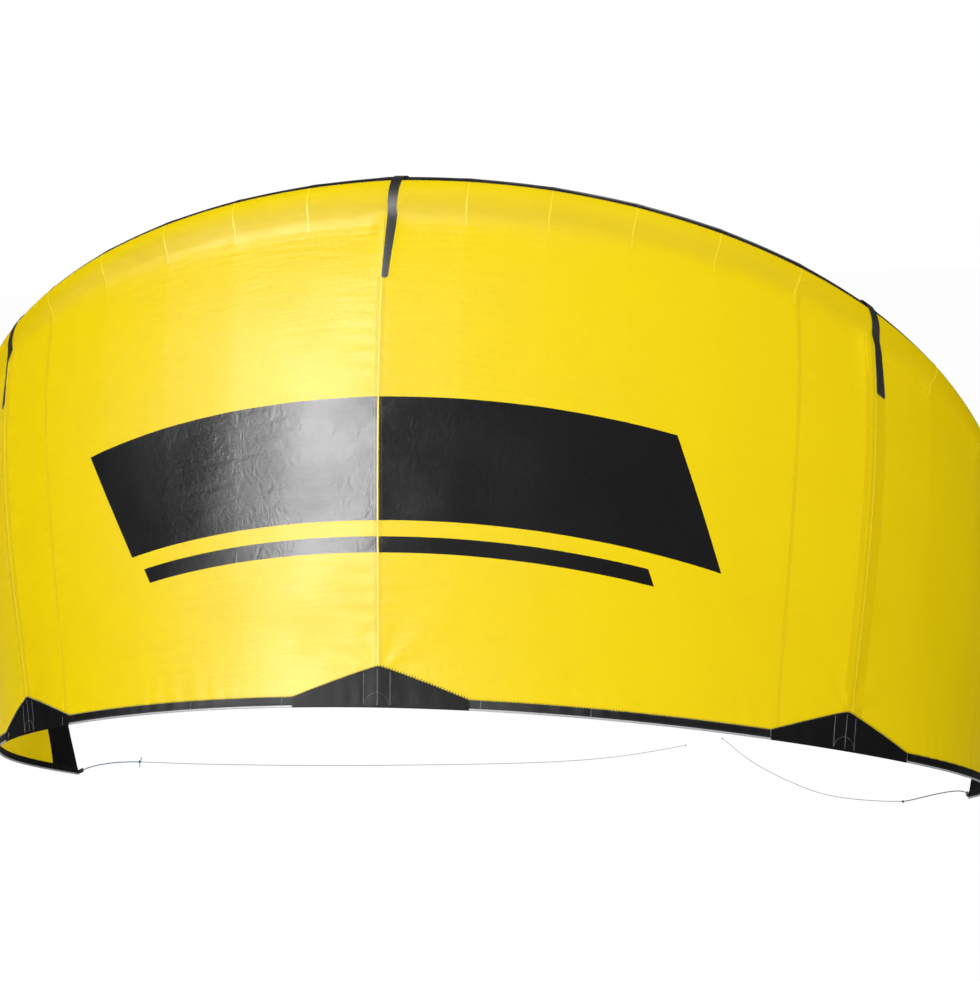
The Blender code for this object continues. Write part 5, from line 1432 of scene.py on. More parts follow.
def seam_axis():
    return tube_axis(np.array(all_seams())), tube_radius(np.array(all_seams()))


def tube_clearance(points):
    """How far points lie outside the leading edge tube."""
    axis, radius = seam_axis()
    start, run = axis[:-1][None], (axis[1:] - axis[:-1])[None]
    away = points[:, None, :] - start
    mix = np.clip(np.sum(away * run, axis=2) / np.sum(run * run, axis=2), 0.0, 1.0)
    gap = np.linalg.norm(away - run * mix[..., None], axis=2)
    return (gap - (radius[:-1] + (radius[1:] - radius[:-1]) * mix)).min(axis=1)


def run_to_tube(points, direction, gap):
    """Move points along a direction until they lie a gap outside the tube."""
    axis, _ = seam_axis()
    low = np.zeros(len(points))
    high = np.linalg.norm(points[:, None] - axis[None], axis=2).min(axis=1)
    for _ in range(HALVINGS):
        middle = (low + high) / 2
        outside = tube_clearance(points + direction * middle[:, None]) > gap
        low, high = np.where(outside, middle, low), np.where(outside, high, middle)
    return points + direction * low[:, None]


def strut_rings(u, shrink, sides):
    """Rings of a strut, shrink metres inside its casing, with their directions and middles."""
    first, last = strut_span(u)
    v = np.linspace(first, last, STRUT_STATIONS)
    centre = strut_centre(np.full_like(v, u), v)
    along = unit(np.gradient(centre, axis=0))
    outward = surface_normal(np.full_like(v, u), v)
    outward = unit(outward - along * dot(outward, along))
    sideways = np.cross(along, outward)
    angle = np.linspace(0, 2 * math.pi, sides, endpoint=False)[None, :, None]
    around_it = np.cos(angle) * outward[:, None, :] + np.sin(angle) * sideways[:, None, :]
    return centre[:, None, :] + (strut_radius(v) - shrink)[:, None, None] * around_it, along, centre


def strut_shell(u):
    """Rings of a strut from its mouth against the tube to its rounded rear end."""
    rings, along, centre = strut_rings(u, 0.0, STRUT_SIDES)
    forward = unit(strut_centre(np.array(u), np.array(0.0)) - centre[0])
    mouth = run_to_tube(rings[0], forward, STRUT_TUBE_GAP)
    front = [mouth + (rings[0] - mouth) * share for share in MOUTH_ROWS]
    rear = []
    for share in STRUT_END_ROWS:
        middle = centre[-1] + along[-1] * (STRUT_END_LENGTH * share)
        rear.append(middle + (rings[-1] - centre[-1]) * math.sqrt(1 - share**2))
    return np.concatenate([np.array(front), rings, np.array(rear)])


def ring_tube(name, rings, finishes, thickness, radius, picker=None):
    """A tube skin through rings that run away from the leading edge; picker chooses a finish by distance."""
    run = distances(rings.mean(axis=1))
    sides = rings.shape[1]
    x, y = np.meshgrid(np.linspace(0, 2 * math.pi * radius, sides + 1), run)
    chosen = None
    if picker is not None:
        chosen = np.array([picker(value, run[-1]) for value in (run[1:] + run[:-1]) / 2]).repeat(sides)
    faces = grid_faces(len(rings), sides, wrap=True)
    item = add_mesh(name, rings, faces.tolist(), finishes, grid_uv(x, y), chosen)
    return thicken(face_out(item, False), thickness, -1.0)


def strut_colour(distance, total):
    return 1 if distance < COLLAR_LENGTH or distance > total - STRUT_TAIL_LENGTH else 0


def film_skin(name, rings, node, radius=STRUT_RADIUS_FRONT):
    """A closed clear skin through rings, for a bladder."""
    film = face_out(ring_tube(name, rings, [FINISH["film"]], FILM_WALL, radius))
    dress(film, "bladder_film", node)


def make_struts():
    finishes = [FINISH["tube"], FINISH["tube_black"]]
    for word, line in STRUT_WORDS:
        casing = ring_tube(f"{word}_strut_tube", strut_shell(line), finishes, STRUT_WALL, STRUT_RADIUS_FRONT,
                           strut_colour)
        dress(casing, "tube_cloth", f"{word}_strut_casing")
        film_skin(f"{word}_strut_film", strut_rings(line, FILM_INSET, FILM_SIDES)[0], f"{word}_strut_bladder")


# Places of the fittings

# Facets of the part's tube and struts that carry fittings, counted from the outer side
FACET_TURN = 2 * math.pi / 16
VALVE_FACET = 7
STRUT_FACETS = 12
RING_STATIONS = 8
VALVE_SET, ELBOW_SET, TAB_SET = 0.0008, 0.0006, 0.0008
HOSE_TUBE_FACETS, HOSE_SECTION_FACET = (8, 3), 5
HOSE_SHARES = {"middle": 0.35, "left": 0.65, "right": 0.65}
HOSE_STRUT_SHARE = 0.35
TAB_FACET = 9
TAB_SECTIONS = {"inner": 2, "outer": 7}


def facet_frame(near_low, near_high, far_high, far_low, along, inside, share=0.5, lift=0.0):
    """Frame on a flat facet of the part: Z out of it, X along the given direction."""
    low, high = near_low.lerp(far_low, share), near_high.lerp(far_high, share)
    outward = (high - low).cross(far_low - near_low).normalized()
    if outward.dot((low + high) / 2 - inside) < 0:
        outward = -outward
    return local_frame((low + high) / 2 + outward * lift, square_to(along, outward), outward)


def tube_facet(section, facet, side, along, share=0.5, lift=0.0):
    low, high = side * LE_SEAMS[section], side * LE_SEAMS[section + 1]
    near, far = facet * FACET_TURN, (facet + 1) * FACET_TURN
    corners = [vector(ring_points(np.array(place), np.array(angle), 0.0))
               for place, angle in ((low, near), (low, far), (high, far), (high, near))]
    return facet_frame(*corners, along, vector(tube_axis(low)), share, lift)


def strut_facet(u, facet, along, share, lift):
    """Facet between the part's first two strut rings."""
    length = float(chord_length(np.array(u)))
    patch_top = 1 - PATCH_HEIGHT / length
    spots = [DART_ROW_SHARE + (patch_top - DART_ROW_SHARE) * k / (RING_STATIONS - 1) for k in range(3)]
    centres = [vector(strut_centre(np.array(u), np.array(spot))) for spot in spots]
    corners = []
    for k in range(2):
        way = (centres[1] - centres[0]).normalized() if k == 0 else (centres[2] - centres[0]).normalized()
        outward = square_to(vector(surface_normal(np.array(u), np.array(spots[k]))), way)
        sideways = way.cross(outward)
        for corner in (facet, facet + 1):
            angle = 2 * math.pi * corner / STRUT_FACETS
            reach = outward * math.cos(angle) + sideways * math.sin(angle)
            corners.append(centres[k] + reach * strut_radius(spots[k]))
    return facet_frame(corners[0], corners[1], corners[3], corners[2], along, centres[0], share, lift)


X_WAY = Vector((1, 0, 0))


def hose_places(word):
    """Frames of a hose's two elbows, and the points of its curve."""
    u = dict(STRUT_WORDS)[word]
    side = -1 if word == "left" else 1
    section = 0 if word == "middle" else 5
    inward = 1 if word == "middle" else -side
    rough = tube_facet(section, HOSE_SECTION_FACET, side, X_WAY, HOSE_SHARES[word]).translation
    flanks = [strut_facet(u, facet, X_WAY, HOSE_STRUT_SHARE, 0.0) for facet in HOSE_TUBE_FACETS]
    index = max((0, 1), key=lambda k: flanks[k].col[2][0] * inward)
    to_strut = flanks[index].translation - rough
    first = tube_facet(section, HOSE_SECTION_FACET, side, to_strut, HOSE_SHARES[word], ELBOW_SET)
    second = strut_facet(u, HOSE_TUBE_FACETS[index], -to_strut, HOSE_STRUT_SHARE, ELBOW_SET)
    ends = [place @ Vector((NOZZLE_TIP, 0, BEND_HEIGHT)) for place in (first, second)]
    ways = [Vector(place.col[0][:3]) for place in (first, second)]
    pull = HOSE_PULL * (ends[1] - ends[0]).length
    return first, second, (ends[0], ends[0] + ways[0] * pull, ends[1] + ways[1] * pull, ends[1])


# Leading edge

VALVE_SPOTS = (("inflation", 0, -1, 0.013), ("dump", 3, 1, 0.019))
SEAT_INNER, SEAT_OUTER, SEAT_DEPTH = 0.0165, 0.050, 0.04
TUBE_SIDES, TUBE_WALL = 96, 0.0008
BLACK_FROM, BLACK_TO = math.radians(-30), math.radians(48)
SEAM_RISE, SEAM_EDGE, SEAM_SLOPE = 0.0008, 0.009, 0.002
GATHER_HEIGHT, GATHER_MIDDLE, GATHER_WIDTH, GATHER_CLEAR = 0.0011, 0.012, 0.022, 0.008
MIDDLE_STEP = 0.011
SECTION_STEPS = (0.0, 0.004, 0.007, 0.009, 0.016, 0.026, 0.040, 0.060)
TUBE_PIECES = four_spans(STRUT_LE_SHARE, 1.0)


def seated(points, clearance):
    """Points of the tube's skin, pulled flat under the two stiff valve flanges."""
    for _, section, side, bore in VALVE_SPOTS:
        place = tube_facet(section, VALVE_FACET, side, X_WAY)
        turn = np.array([list(row[:3]) for row in place.to_3x3()])
        origin = np.array(place.translation)
        local = (points - origin) @ turn
        away = np.hypot(local[..., 0], local[..., 1])
        share = np.clip((bore + SEAT_OUTER - away) / (SEAT_OUTER - SEAT_INNER), 0.0, 1.0)
        share = share * share * (3 - 2 * share) * (np.abs(local[..., 2]) < SEAT_DEPTH)
        local[..., 2] += (clearance - local[..., 2]) * share
        points = local @ turn.T + origin
    return points


def section_shares(low, high):
    """Shares along one sewn section, close together beside its two seams."""
    size = float(np.linalg.norm(tube_axis(high) - tube_axis(low)))
    near = [step / size for step in SECTION_STEPS]
    far = [1 - value for value in reversed(near)]
    count = max(4, int(size * (far[0] - near[-1]) / MIDDLE_STEP))
    middle = np.linspace(near[-1], far[0], count)[1:-1]
    return [low + (high - low) * value for value in (*near, *middle, *far)]


def tube_lift(distance, angle, phase):
    """Raised seam ring and the small gathers beside it."""
    ring = SEAM_RISE * np.clip((SEAM_EDGE - distance) / SEAM_SLOPE, 0.0, 1.0)
    gathers = GATHER_HEIGHT * np.sin(angle * 23 + phase) * np.sin(angle * 7 + 2 * phase)
    return ring + gathers * faded(distance - GATHER_MIDDLE, GATHER_WIDTH) * (distance > GATHER_CLEAR)


def tube_skin(name, seams):
    """A casing of sewn sections; the caller gives the seams from left to right."""
    rows, lifts = [], []
    angle = np.linspace(-math.pi, math.pi, TUBE_SIDES, endpoint=False)
    for k, (low, high) in enumerate(zip(seams, seams[1:])):
        size = float(np.linalg.norm(tube_axis(high) - tube_axis(low)))
        for share in section_shares(low, high)[1 if k else 0:]:
            away = min(share - low, high - share) / (high - low) * size
            rows.append(share)
            lifts.append(tube_lift(abs(away), angle, 12 * low))
    share = np.array(rows)[:, None]
    points = seated(tube_points(share, angle[None, :], np.array(lifts)), 0.0)
    points[0] += unit(tube_axis(seams[1]) - tube_axis(seams[0])) * (SEWN_GAP / 2)
    points[-1] += unit(tube_axis(seams[-2]) - tube_axis(seams[-1])) * (SEWN_GAP / 2)
    turn = np.linspace(-math.pi, math.pi, TUBE_SIDES + 1)
    x = np.broadcast_to(distances(tube_axis(np.array(rows)))[:, None], (len(rows), TUBE_SIDES + 1))
    uv = grid_uv(x, turn[None, :] * tube_radius(share)).reshape(-1, 4, 2)[:, ::-1].reshape(-1, 2)
    faces = grid_faces(len(rows), TUBE_SIDES, wrap=True)[:, ::-1]
    middle = (angle + math.pi / TUBE_SIDES)[None, :].repeat(len(rows) - 1, 0)
    black = (middle < BLACK_FROM) | (middle > BLACK_TO)
    finishes = [FINISH["tube"], FINISH["tube_black"]]
    return thicken(add_mesh(name, points, faces.tolist(), finishes, uv, black.astype(int)), TUBE_WALL, -1.0)


def all_seams():
    return sorted({-float(seam) for seam in LE_SEAMS[1:]} | {float(seam) for seam in LE_SEAMS})


def make_leading_edge():
    for word, low, high in TUBE_PIECES:
        seams = [seam for seam in all_seams() if low - PROBE < seam < high + PROBE]
        piece = tube_skin(f"leading_edge_{word}_casing", seams)
        dress(piece, "tube_cloth", f"leading_edge_{word}")


# Rigid fittings, modelled by editing

def start_editing():
    item = bpy.context.active_object
    use_only(item)
    bpy.ops.object.mode_set(mode="EDIT")
    bpy.ops.mesh.select_all(action="SELECT")
    return item


def done():
    bpy.ops.object.mode_set(mode="OBJECT")
    return bpy.context.active_object


def start_circle(radius, height, sides):
    bpy.ops.object.select_all(action="DESELECT")
    bpy.ops.mesh.primitive_circle_add(vertices=sides, radius=radius, location=(0, 0, height))
    use_only(bpy.context.active_object)
    bpy.ops.object.transform_apply(location=True, rotation=False, scale=False)
    return start_editing()


def push(profile, radius, height, along=(0, 0, 1), centre=(0, 0, 0)):
    """Extrude the selected ring through a profile of (radius, height) along an axis."""
    for next_radius, next_height in profile:
        bpy.ops.mesh.extrude_edges_move()
        bpy.ops.transform.translate(value=[(next_height - height) * part for part in along])
        size = next_radius / radius
        bpy.ops.transform.resize(value=[1 if part else size for part in along], center_override=centre)
        radius, height = next_radius, next_height


def lathe(profile, sides, ends=True):
    """A turned solid: a circle pushed from one (radius, height) to the next, perhaps with its ends filled."""
    item = start_circle(*profile[0], sides)
    if ends:
        bpy.ops.mesh.edge_face_add()
        bpy.ops.mesh.select_all(action="SELECT")
        bpy.ops.mesh.select_mode(type="EDGE")
        bpy.ops.mesh.region_to_loop()
    push(profile[1:], *profile[0])
    if ends:
        bpy.ops.mesh.edge_face_add()
    return close_mesh(item)


def close_mesh(item):
    bpy.ops.mesh.select_mode(type="VERT")
    bpy.ops.mesh.select_all(action="SELECT")
    bpy.ops.mesh.remove_doubles(threshold=1e-6)
    bpy.ops.mesh.normals_make_consistent(inside=False)
    bpy.ops.mesh.select_all(action="DESELECT")
    done()
    return item


def block(low, high, bevel, segments=2):
    """A box between two corners, its edges rounded."""
    bpy.ops.object.select_all(action="DESELECT")
    bpy.ops.mesh.primitive_cube_add(size=1)
    start_editing()
    size = [b - a for a, b in zip(low, high)]
    bpy.ops.transform.resize(value=size, center_override=(0, 0, 0))
    bpy.ops.transform.translate(value=[(a + b) / 2 for a, b in zip(low, high)])
    bpy.ops.mesh.bevel(offset=bevel, segments=segments, affect="EDGES")
    bpy.ops.mesh.select_all(action="DESELECT")
    return done()


def pin(radius, half, centre, sides=20):
    """A short cylinder along Y with chamfered ends."""
    chamfer = min(radius, half) * 0.25
    end, side = radius - chamfer, half - chamfer
    item = lathe([(end, -half), (radius, -side), (radius, side), (end, half)], sides)
    return turned(item, Matrix.Translation(centre) @ Matrix.Rotation(math.pi / 2, 4, "X"))


def turned(item, matrix):
    item.data.transform(matrix)
    return item


def joined(pieces):
    use_only(pieces[0])
    for item in pieces:
        item.select_set(True)
    bpy.ops.object.join()
    return bpy.context.active_object


def copy_of(item):
    made = item.copy()
    made.data = item.data.copy()
    return linked(made)


def around(item, degrees):
    """Copies of a detail turned about Z."""
    copies = [turned(copy_of(item), Matrix.Rotation(math.radians(angle), 4, "Z")) for angle in degrees]
    bpy.data.objects.remove(item)
    return copies


def finish_rigid(item, name, place, finish, node, body=KITE, bevel=0.0003):
    """Round the edges, shade by angle, put the mesh in its place, tie the object to its body and hide the
    node's own piece.
    """
    item.name = name
    item.data.name = name
    if bevel:
        step = item.modifiers.new("edges", "BEVEL")
        step.width, step.segments = bevel, 2
        step.limit_method = "ANGLE"
        step.angle_limit = math.radians(BEVEL_DEGREES)
        apply_modifiers(item)
    item.data.materials.clear()
    item.data.materials.append(FINISH[finish])
    turned(smooth(item, RIGID_DEGREES), place)
    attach(item, body)
    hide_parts(node)


# Valves

VALVE_SIDES = 48
FLANGE_THICK, VALVE_TOP, STEM_DEPTH = 0.0025, 0.0135, 0.012
STEM_WALL, FLANGE_REACH = 0.0025, 0.012
CAP_UNDER, CAP_THICK = 0.0138, 0.003
PLUG_DEPTH, PLUG_TAPER = 0.004, 0.0012
BARREL_RADIUS, BARREL_HALF, PIN_RADIUS, PIN_HALF = 0.0028, 0.004, 0.0018, 0.0075
EAR_NEAR, EAR_FAR, EAR_HALF = 0.0045, 0.0075, 0.0043
PATCH_WIDTH_AROUND, HOLE_GAP = 0.030, 0.0004
CAP_OVERHANG, HINGE_REACH, LUG_HALF = 0.0015, 0.0065, 0.0037
GRIP_STEP, GRIP_HALF = 20, 0.0006


def hinge_at(bore):
    return -(bore + STEM_WALL + CAP_OVERHANG + HINGE_REACH), CAP_UNDER + CAP_THICK / 2


def valve_base(bore):
    """Welded flange with a stepped rim, neck with a lip and two hinge ears."""
    stem, flange = bore + STEM_WALL, bore + STEM_WALL + FLANGE_REACH
    ring = [
        (bore, -STEM_DEPTH), (stem, -STEM_DEPTH), (stem, 0.0), (flange - 0.0006, 0.0), (flange, 0.0004),
        (flange - 0.0003, 0.0011), (flange - 0.004, 0.0014), (flange - 0.005, FLANGE_THICK),
        (stem + 0.0018, FLANGE_THICK), (stem + 0.0004, FLANGE_THICK + 0.0014), (stem, FLANGE_THICK + 0.003),
        (stem, VALVE_TOP - 0.0024), (stem + 0.0007, VALVE_TOP - 0.0018), (stem + 0.0007, VALVE_TOP - 0.0007),
        (stem, VALVE_TOP), (bore + 0.0006, VALVE_TOP), (bore, VALVE_TOP - 0.0006)]
    body = lathe([*ring, ring[0]], VALVE_SIDES, False)
    hinge_x, hinge_z = hinge_at(bore)
    ears = []
    for side in (-1, 1):
        near, far = sorted((side * EAR_NEAR, side * EAR_FAR))
        low = (hinge_x - EAR_HALF, near, FLANGE_THICK / 2)
        ears.append(block(low, (hinge_x + EAR_HALF, far, hinge_z + EAR_HALF), 0.0008))
    web = block((hinge_x + 0.001, -0.0043, 0.001), (-stem + 0.0006, 0.0043, 0.0046), 0.0007)
    rib = block((-0.0006, stem - 0.0004, 0.001), (0.0006, stem + 0.0066, 0.0038), 0.0004)
    ribs = around(rib, [-200 + k * 40 for k in range(6)])
    return joined([body, *ears, web, *ribs])


def valve_cap(bore):
    """Cap with a domed grip top, a plug below, a hinge lug with its barrel and a thumb lip."""
    rim, plug = bore + STEM_WALL + CAP_OVERHANG, bore - 0.0005
    top = CAP_UNDER + CAP_THICK
    body = lathe([
        (plug - PLUG_TAPER, CAP_UNDER - PLUG_DEPTH), (plug, CAP_UNDER - 0.0012), (plug, CAP_UNDER),
        (rim, CAP_UNDER), (rim, top - 0.0009), (rim - 0.0009, top), (rim - 0.004, top),
        (rim - 0.0046, top - 0.0006), (0.005, top - 0.0006), (0.0042, top - 0.0002), (0.0015, top - 0.0002)],
        VALVE_SIDES)
    hinge_x, hinge_z = hinge_at(bore)
    lug = block((hinge_x, -LUG_HALF, CAP_UNDER + 0.0003), (-bore, LUG_HALF, CAP_UNDER + 0.0027), 0.0006)
    barrel = pin(BARREL_RADIUS, BARREL_HALF, Vector((hinge_x, 0, hinge_z)))
    axle = pin(PIN_RADIUS, PIN_HALF, Vector((hinge_x, 0, hinge_z)))
    low, high = (rim - 0.0004, -GRIP_HALF, CAP_UNDER + 0.0004), (rim + 0.0003, GRIP_HALF, top - 0.001)
    grips = around(block(low, high, 0.0002, 1), range(-160, 161, GRIP_STEP))
    return joined([body, lug, barrel, axle, *grips])


def make_valves():
    for word, section, side, bore in VALVE_SPOTS:
        place = tube_facet(section, VALVE_FACET, side, X_WAY, 0.5, VALVE_SET)
        finish_rigid(valve_base(bore), f"{word}_base_moulding", place, "grey_plastic", f"{word}_valve_base")
        cap = valve_cap(bore)
        finish_rigid(cap, f"{word}_cap_moulding", place, "plastic", f"{word}_valve_cap", f"{word}_cap")
        if word == "inflation":
            rim, neck = bore + 0.0004, bore * 0.6
            disc = lathe([
                (0.0015, -0.0133), (rim, -0.0133), (rim + 0.0004, -0.0131), (rim + 0.0004, -0.0125),
                (rim, -0.0123), (neck, -0.0123), (bore * 0.56, -0.0125), (0.002, -0.0125)], VALVE_SIDES)
            finish_rigid(disc, "inflation_flap_rubber", place, "hose", "inflation_valve_flap",
                         "inflation_flap", 0.0)
        reach = bore + STEM_WALL + FLANGE_REACH + PATCH_WIDTH_AROUND
        around_patch(f"{word}_valve_patch", place, reach, reach - PATCH_WIDTH_AROUND + HOLE_GAP)


PATCH_RINGS, PATCH_SIDES, PATCH_CLEAR, PATCH_WALL = 7, 64, 0.0009, 0.0006


def around_patch(name, place, reach, hole, stretch=1.0):
    """A round reinforcement cloth stuck on the tube about a fitting, with a hole for its stem."""
    centre = place.translation
    best = float(min(np.linspace(-1, 1, 4001), key=lambda share: np.linalg.norm(tube_axis(share) - centre)))
    axis, _, front, outward = tube_frames(best)
    way = unit(np.array(centre) - axis)
    middle = math.atan2(-float(np.dot(way, front)), float(np.dot(way, outward)))
    width, radius = tube_span(best), float(tube_radius(best))
    turn = np.linspace(0, 2 * math.pi, PATCH_SIDES + 1)

    def ring(size, clearance):
        share = best + size * stretch * np.cos(turn) / width
        return seated(tube_points(share, middle + size * np.sin(turn) / radius, clearance), clearance)

    sizes = np.linspace(hole, reach, PATCH_RINGS)
    points = np.array([ring(size, PATCH_CLEAR)[:-1] for size in sizes])
    faces = grid_faces(PATCH_RINGS, PATCH_SIDES, wrap=True).tolist()
    uv = grid_uv(sizes[:, None] * np.cos(turn), sizes[:, None] * np.sin(turn))
    piece = thicken(add_mesh(name, points, faces, [FINISH["patch"]], uv), PATCH_WALL)
    rows = []
    for size in (reach - 0.0025, reach - 0.0065):
        line = ring(size, PATCH_CLEAR + PATCH_WALL - LAYER_GAP)
        rows.append(run_of(line, unit(line - axis), 0.0045))
    sew(f"{name}_thread", rows, "thread_dark", 0.0009)
    return dress(piece, "black_cloth")


def tack(name, place, half_x, half_y, height):
    """A box of stitches with a cross in it, on a flat place."""
    corners = ((-1, -1), (1, -1), (1, 1), (-1, 1), (-1, -1), (1, 1), (1, -1), (-1, 1))
    line = np.array([list(place @ Vector((x * half_x, y * half_y, height))) for x, y in corners])
    normal = np.tile(np.array(place.col[2][:3]), (len(line), 1))
    sew(name, [run_of(line, normal, 0.0030)], "thread_grey", 0.0008)


# Hoses, elbows and clips

NOZZLE_RADIUS, NOZZLE_LENGTH, BEND_RADIUS = 0.0055, 0.016, 0.009
NECK_RADIUS, NECK_HEIGHT = 0.0065, 0.008
ELBOW_BORE, ELBOW_FLANGE, ELBOW_STEM_DEPTH = 0.0035, 0.0125, 0.009
BEND_HEIGHT = NECK_HEIGHT + BEND_RADIUS
NOZZLE_TIP = BEND_RADIUS + NOZZLE_LENGTH
HOSE_RADIUS, HOSE_BORE, HOSE_LAP, HOSE_PULL = 0.0082, 0.0062, 0.012, 0.38
HOSE_POINTS = 40
BEND_STEPS = 7


def elbow_moulding():
    """Flange and neck turned up the Z axis, then spun through the bend to a barbed nozzle."""
    profile = [(NOZZLE_RADIUS, -ELBOW_STEM_DEPTH), (NOZZLE_RADIUS, 0.0), (ELBOW_FLANGE - 0.0005, 0.0),
               (ELBOW_FLANGE, 0.0005), (ELBOW_FLANGE, 0.0026), (ELBOW_FLANGE - 0.0009, 0.0033),
               (NECK_RADIUS + 0.0014, 0.0034), (NECK_RADIUS + 0.0003, 0.0044), (NECK_RADIUS, 0.0058),
               (NECK_RADIUS, NECK_HEIGHT)]
    item = start_circle(ELBOW_BORE, -ELBOW_STEM_DEPTH, 24)
    push(profile, ELBOW_BORE, -ELBOW_STEM_DEPTH)
    centre = (BEND_RADIUS, 0, NECK_HEIGHT)
    bpy.ops.mesh.spin(steps=BEND_STEPS, angle=math.pi / 2, center=centre, axis=(0, -1, 0))
    barb = NOZZLE_RADIUS + 0.0006
    nozzle = [(NOZZLE_RADIUS, 0.0008), (NOZZLE_RADIUS, 0.004), (barb, 0.0046), (NOZZLE_RADIUS, 0.008),
              (barb, 0.0086), (NOZZLE_RADIUS, 0.012), (NOZZLE_RADIUS - 0.0001, NOZZLE_LENGTH - 0.0005),
              (NOZZLE_RADIUS - 0.0006, NOZZLE_LENGTH), (ELBOW_BORE, NOZZLE_LENGTH)]
    push(nozzle, NECK_RADIUS, 0.0, (1, 0, 0), (0, 0, BEND_HEIGHT))
    return close_mesh(item)


CLIP_HALF, CLIP_OUTER, CLIP_INNER, CLIP_RIM = 0.015, 0.0118, 0.0088, 0.01725
CLIP_PIN_X, CLIP_PIN_Z = -0.0107, 0.01295
CLIP_BEND_STEPS, CLIP_RIBS, LEVER_RIDGES = 14, 4, 5
LEVER_LOW, LEVER_THICK, LEVER_HALF, LEVER_TIP = 0.0112, 0.0035, 0.0083, 0.0185
NOSE_LOW, NOSE_HALF = 0.0085, 0.001
LEVER_PIN_HALF = 0.0118


def clip_body():
    """U channel: a turned half ring along X whose walls are drawn up, with bosses at the lever's pin."""
    bpy.ops.object.select_all(action="DESELECT")
    bpy.ops.mesh.primitive_plane_add(size=1)
    item = start_editing()
    bpy.ops.transform.resize(value=(2 * CLIP_HALF, CLIP_OUTER - CLIP_INNER, 1), center_override=(0, 0, 0))
    bpy.ops.transform.translate(value=(0, (CLIP_OUTER + CLIP_INNER) / 2, CLIP_RIM))
    bpy.ops.mesh.extrude_region_move()
    bpy.ops.transform.translate(value=(0, 0, -CLIP_RIM))
    bpy.ops.mesh.spin(steps=CLIP_BEND_STEPS, angle=math.pi, center=(0, 0, 0), axis=(1, 0, 0))
    bpy.ops.mesh.extrude_region_move()
    bpy.ops.transform.translate(value=(0, 0, CLIP_RIM))
    close_mesh(item)
    rims = []
    for side in (-1, 1):
        boss = lathe([(0.0042, 0.0), (0.0042, 0.0010), (0.0036, 0.0014)], 24)
        at_pin = Matrix.Translation((CLIP_PIN_X, side * (CLIP_OUTER - 0.0003), CLIP_PIN_Z))
        rims.append(turned(boss, at_pin @ Matrix.Rotation(-side * math.pi / 2, 4, "X")))
        low, high = sorted((side * (CLIP_OUTER - 0.0002), side * (CLIP_OUTER + 0.0006)))
        for k in range(CLIP_RIBS):
            x = -0.003 + 0.005 * k
            rims.append(block((x - 0.0007, low, -0.001), (x + 0.0007, high, 0.0125), 0.0003, 1))
    return joined([item, *rims])


def clip_lever():
    """Flat lever with a nose that pinches the hose, a hinge barrel and a ridged thumb pad."""
    top = LEVER_LOW + LEVER_THICK
    plate = block((CLIP_PIN_X, -LEVER_HALF, LEVER_LOW), (CLIP_HALF, LEVER_HALF, top), 0.0008)
    low, high = (CLIP_HALF - 0.002, -LEVER_HALF * 0.8, LEVER_LOW + 0.0006), (LEVER_TIP, LEVER_HALF * 0.8, top)
    pad = block(low, high, 0.0009)
    nose_half = LEVER_HALF - 0.0008
    nose = block((-NOSE_HALF, -nose_half, NOSE_LOW), (NOSE_HALF, nose_half, LEVER_LOW + 0.001), 0.0008)
    ridges, half = [], LEVER_HALF - 0.0018
    for x in [0.006 + 0.0022 * k for k in range(LEVER_RIDGES)]:
        ridges.append(block((x, -half, top - 0.0003), (x + 0.001, half, top + 0.0004), 0.0003, 1))
    barrel = pin(BARREL_RADIUS, LEVER_HALF, Vector((CLIP_PIN_X, 0, CLIP_PIN_Z)))
    axle = pin(PIN_RADIUS, LEVER_PIN_HALF, Vector((CLIP_PIN_X, 0, CLIP_PIN_Z)))
    return joined([plate, pad, nose, *ridges, barrel, axle])


def hose_skin(name, curve, first, second):
    """The hose as a tube with a real wall, pushed over both nozzles."""
    line = [bezier(curve, k / (HOSE_POINTS - 1)) for k in range(HOSE_POINTS)]
    laps = [Vector(place.col[0][:3]) * HOSE_LAP for place in (first, second)]
    line = [line[0] - laps[0], *line, line[-1] - laps[1]]
    rings = swept(line, HOSE_RADIUS, 24, (0.2, 0.3, 1.0))
    return ring_tube(name, rings, [FINISH["hose"]], HOSE_RADIUS - HOSE_BORE, HOSE_RADIUS)


def make_hoses():
    elbow, body, lever = elbow_moulding(), clip_body(), clip_lever()
    for word, _ in STRUT_WORDS:
        first, second, curve = hose_places(word)
        for kind, place in (("tube", first), ("strut", second)):
            finish_rigid(copy_of(elbow), f"{word}_{kind}_elbow_moulding", place, "grey_plastic",
                         f"{word}_{kind}_elbow", KITE, 0.0)
        around_patch(f"{word}_elbow_patch", first, 0.030, ELBOW_FLANGE + HOLE_GAP)
        hose = hose_skin(f"{word}_hose_tube", curve, first, second)
        dress(hose, "hose_rubber", f"{word}_hose")
        centre = bezier(curve, 0.5)
        along = (bezier(curve, 0.51) - bezier(curve, 0.49)).normalized()
        place = local_frame(centre, along, square_to(Vector(first.col[2][:3]), along))
        finish_rigid(copy_of(body), f"{word}_clip_moulding", place, "plastic", f"{word}_hose_clip_body")
        finish_rigid(copy_of(lever), f"{word}_lever_moulding", place, "grey_plastic",
                     f"{word}_hose_clip_lever", f"{word}_clip_lever", 0.0)
    for item in (elbow, body, lever):
        bpy.data.objects.remove(item)


# Straps

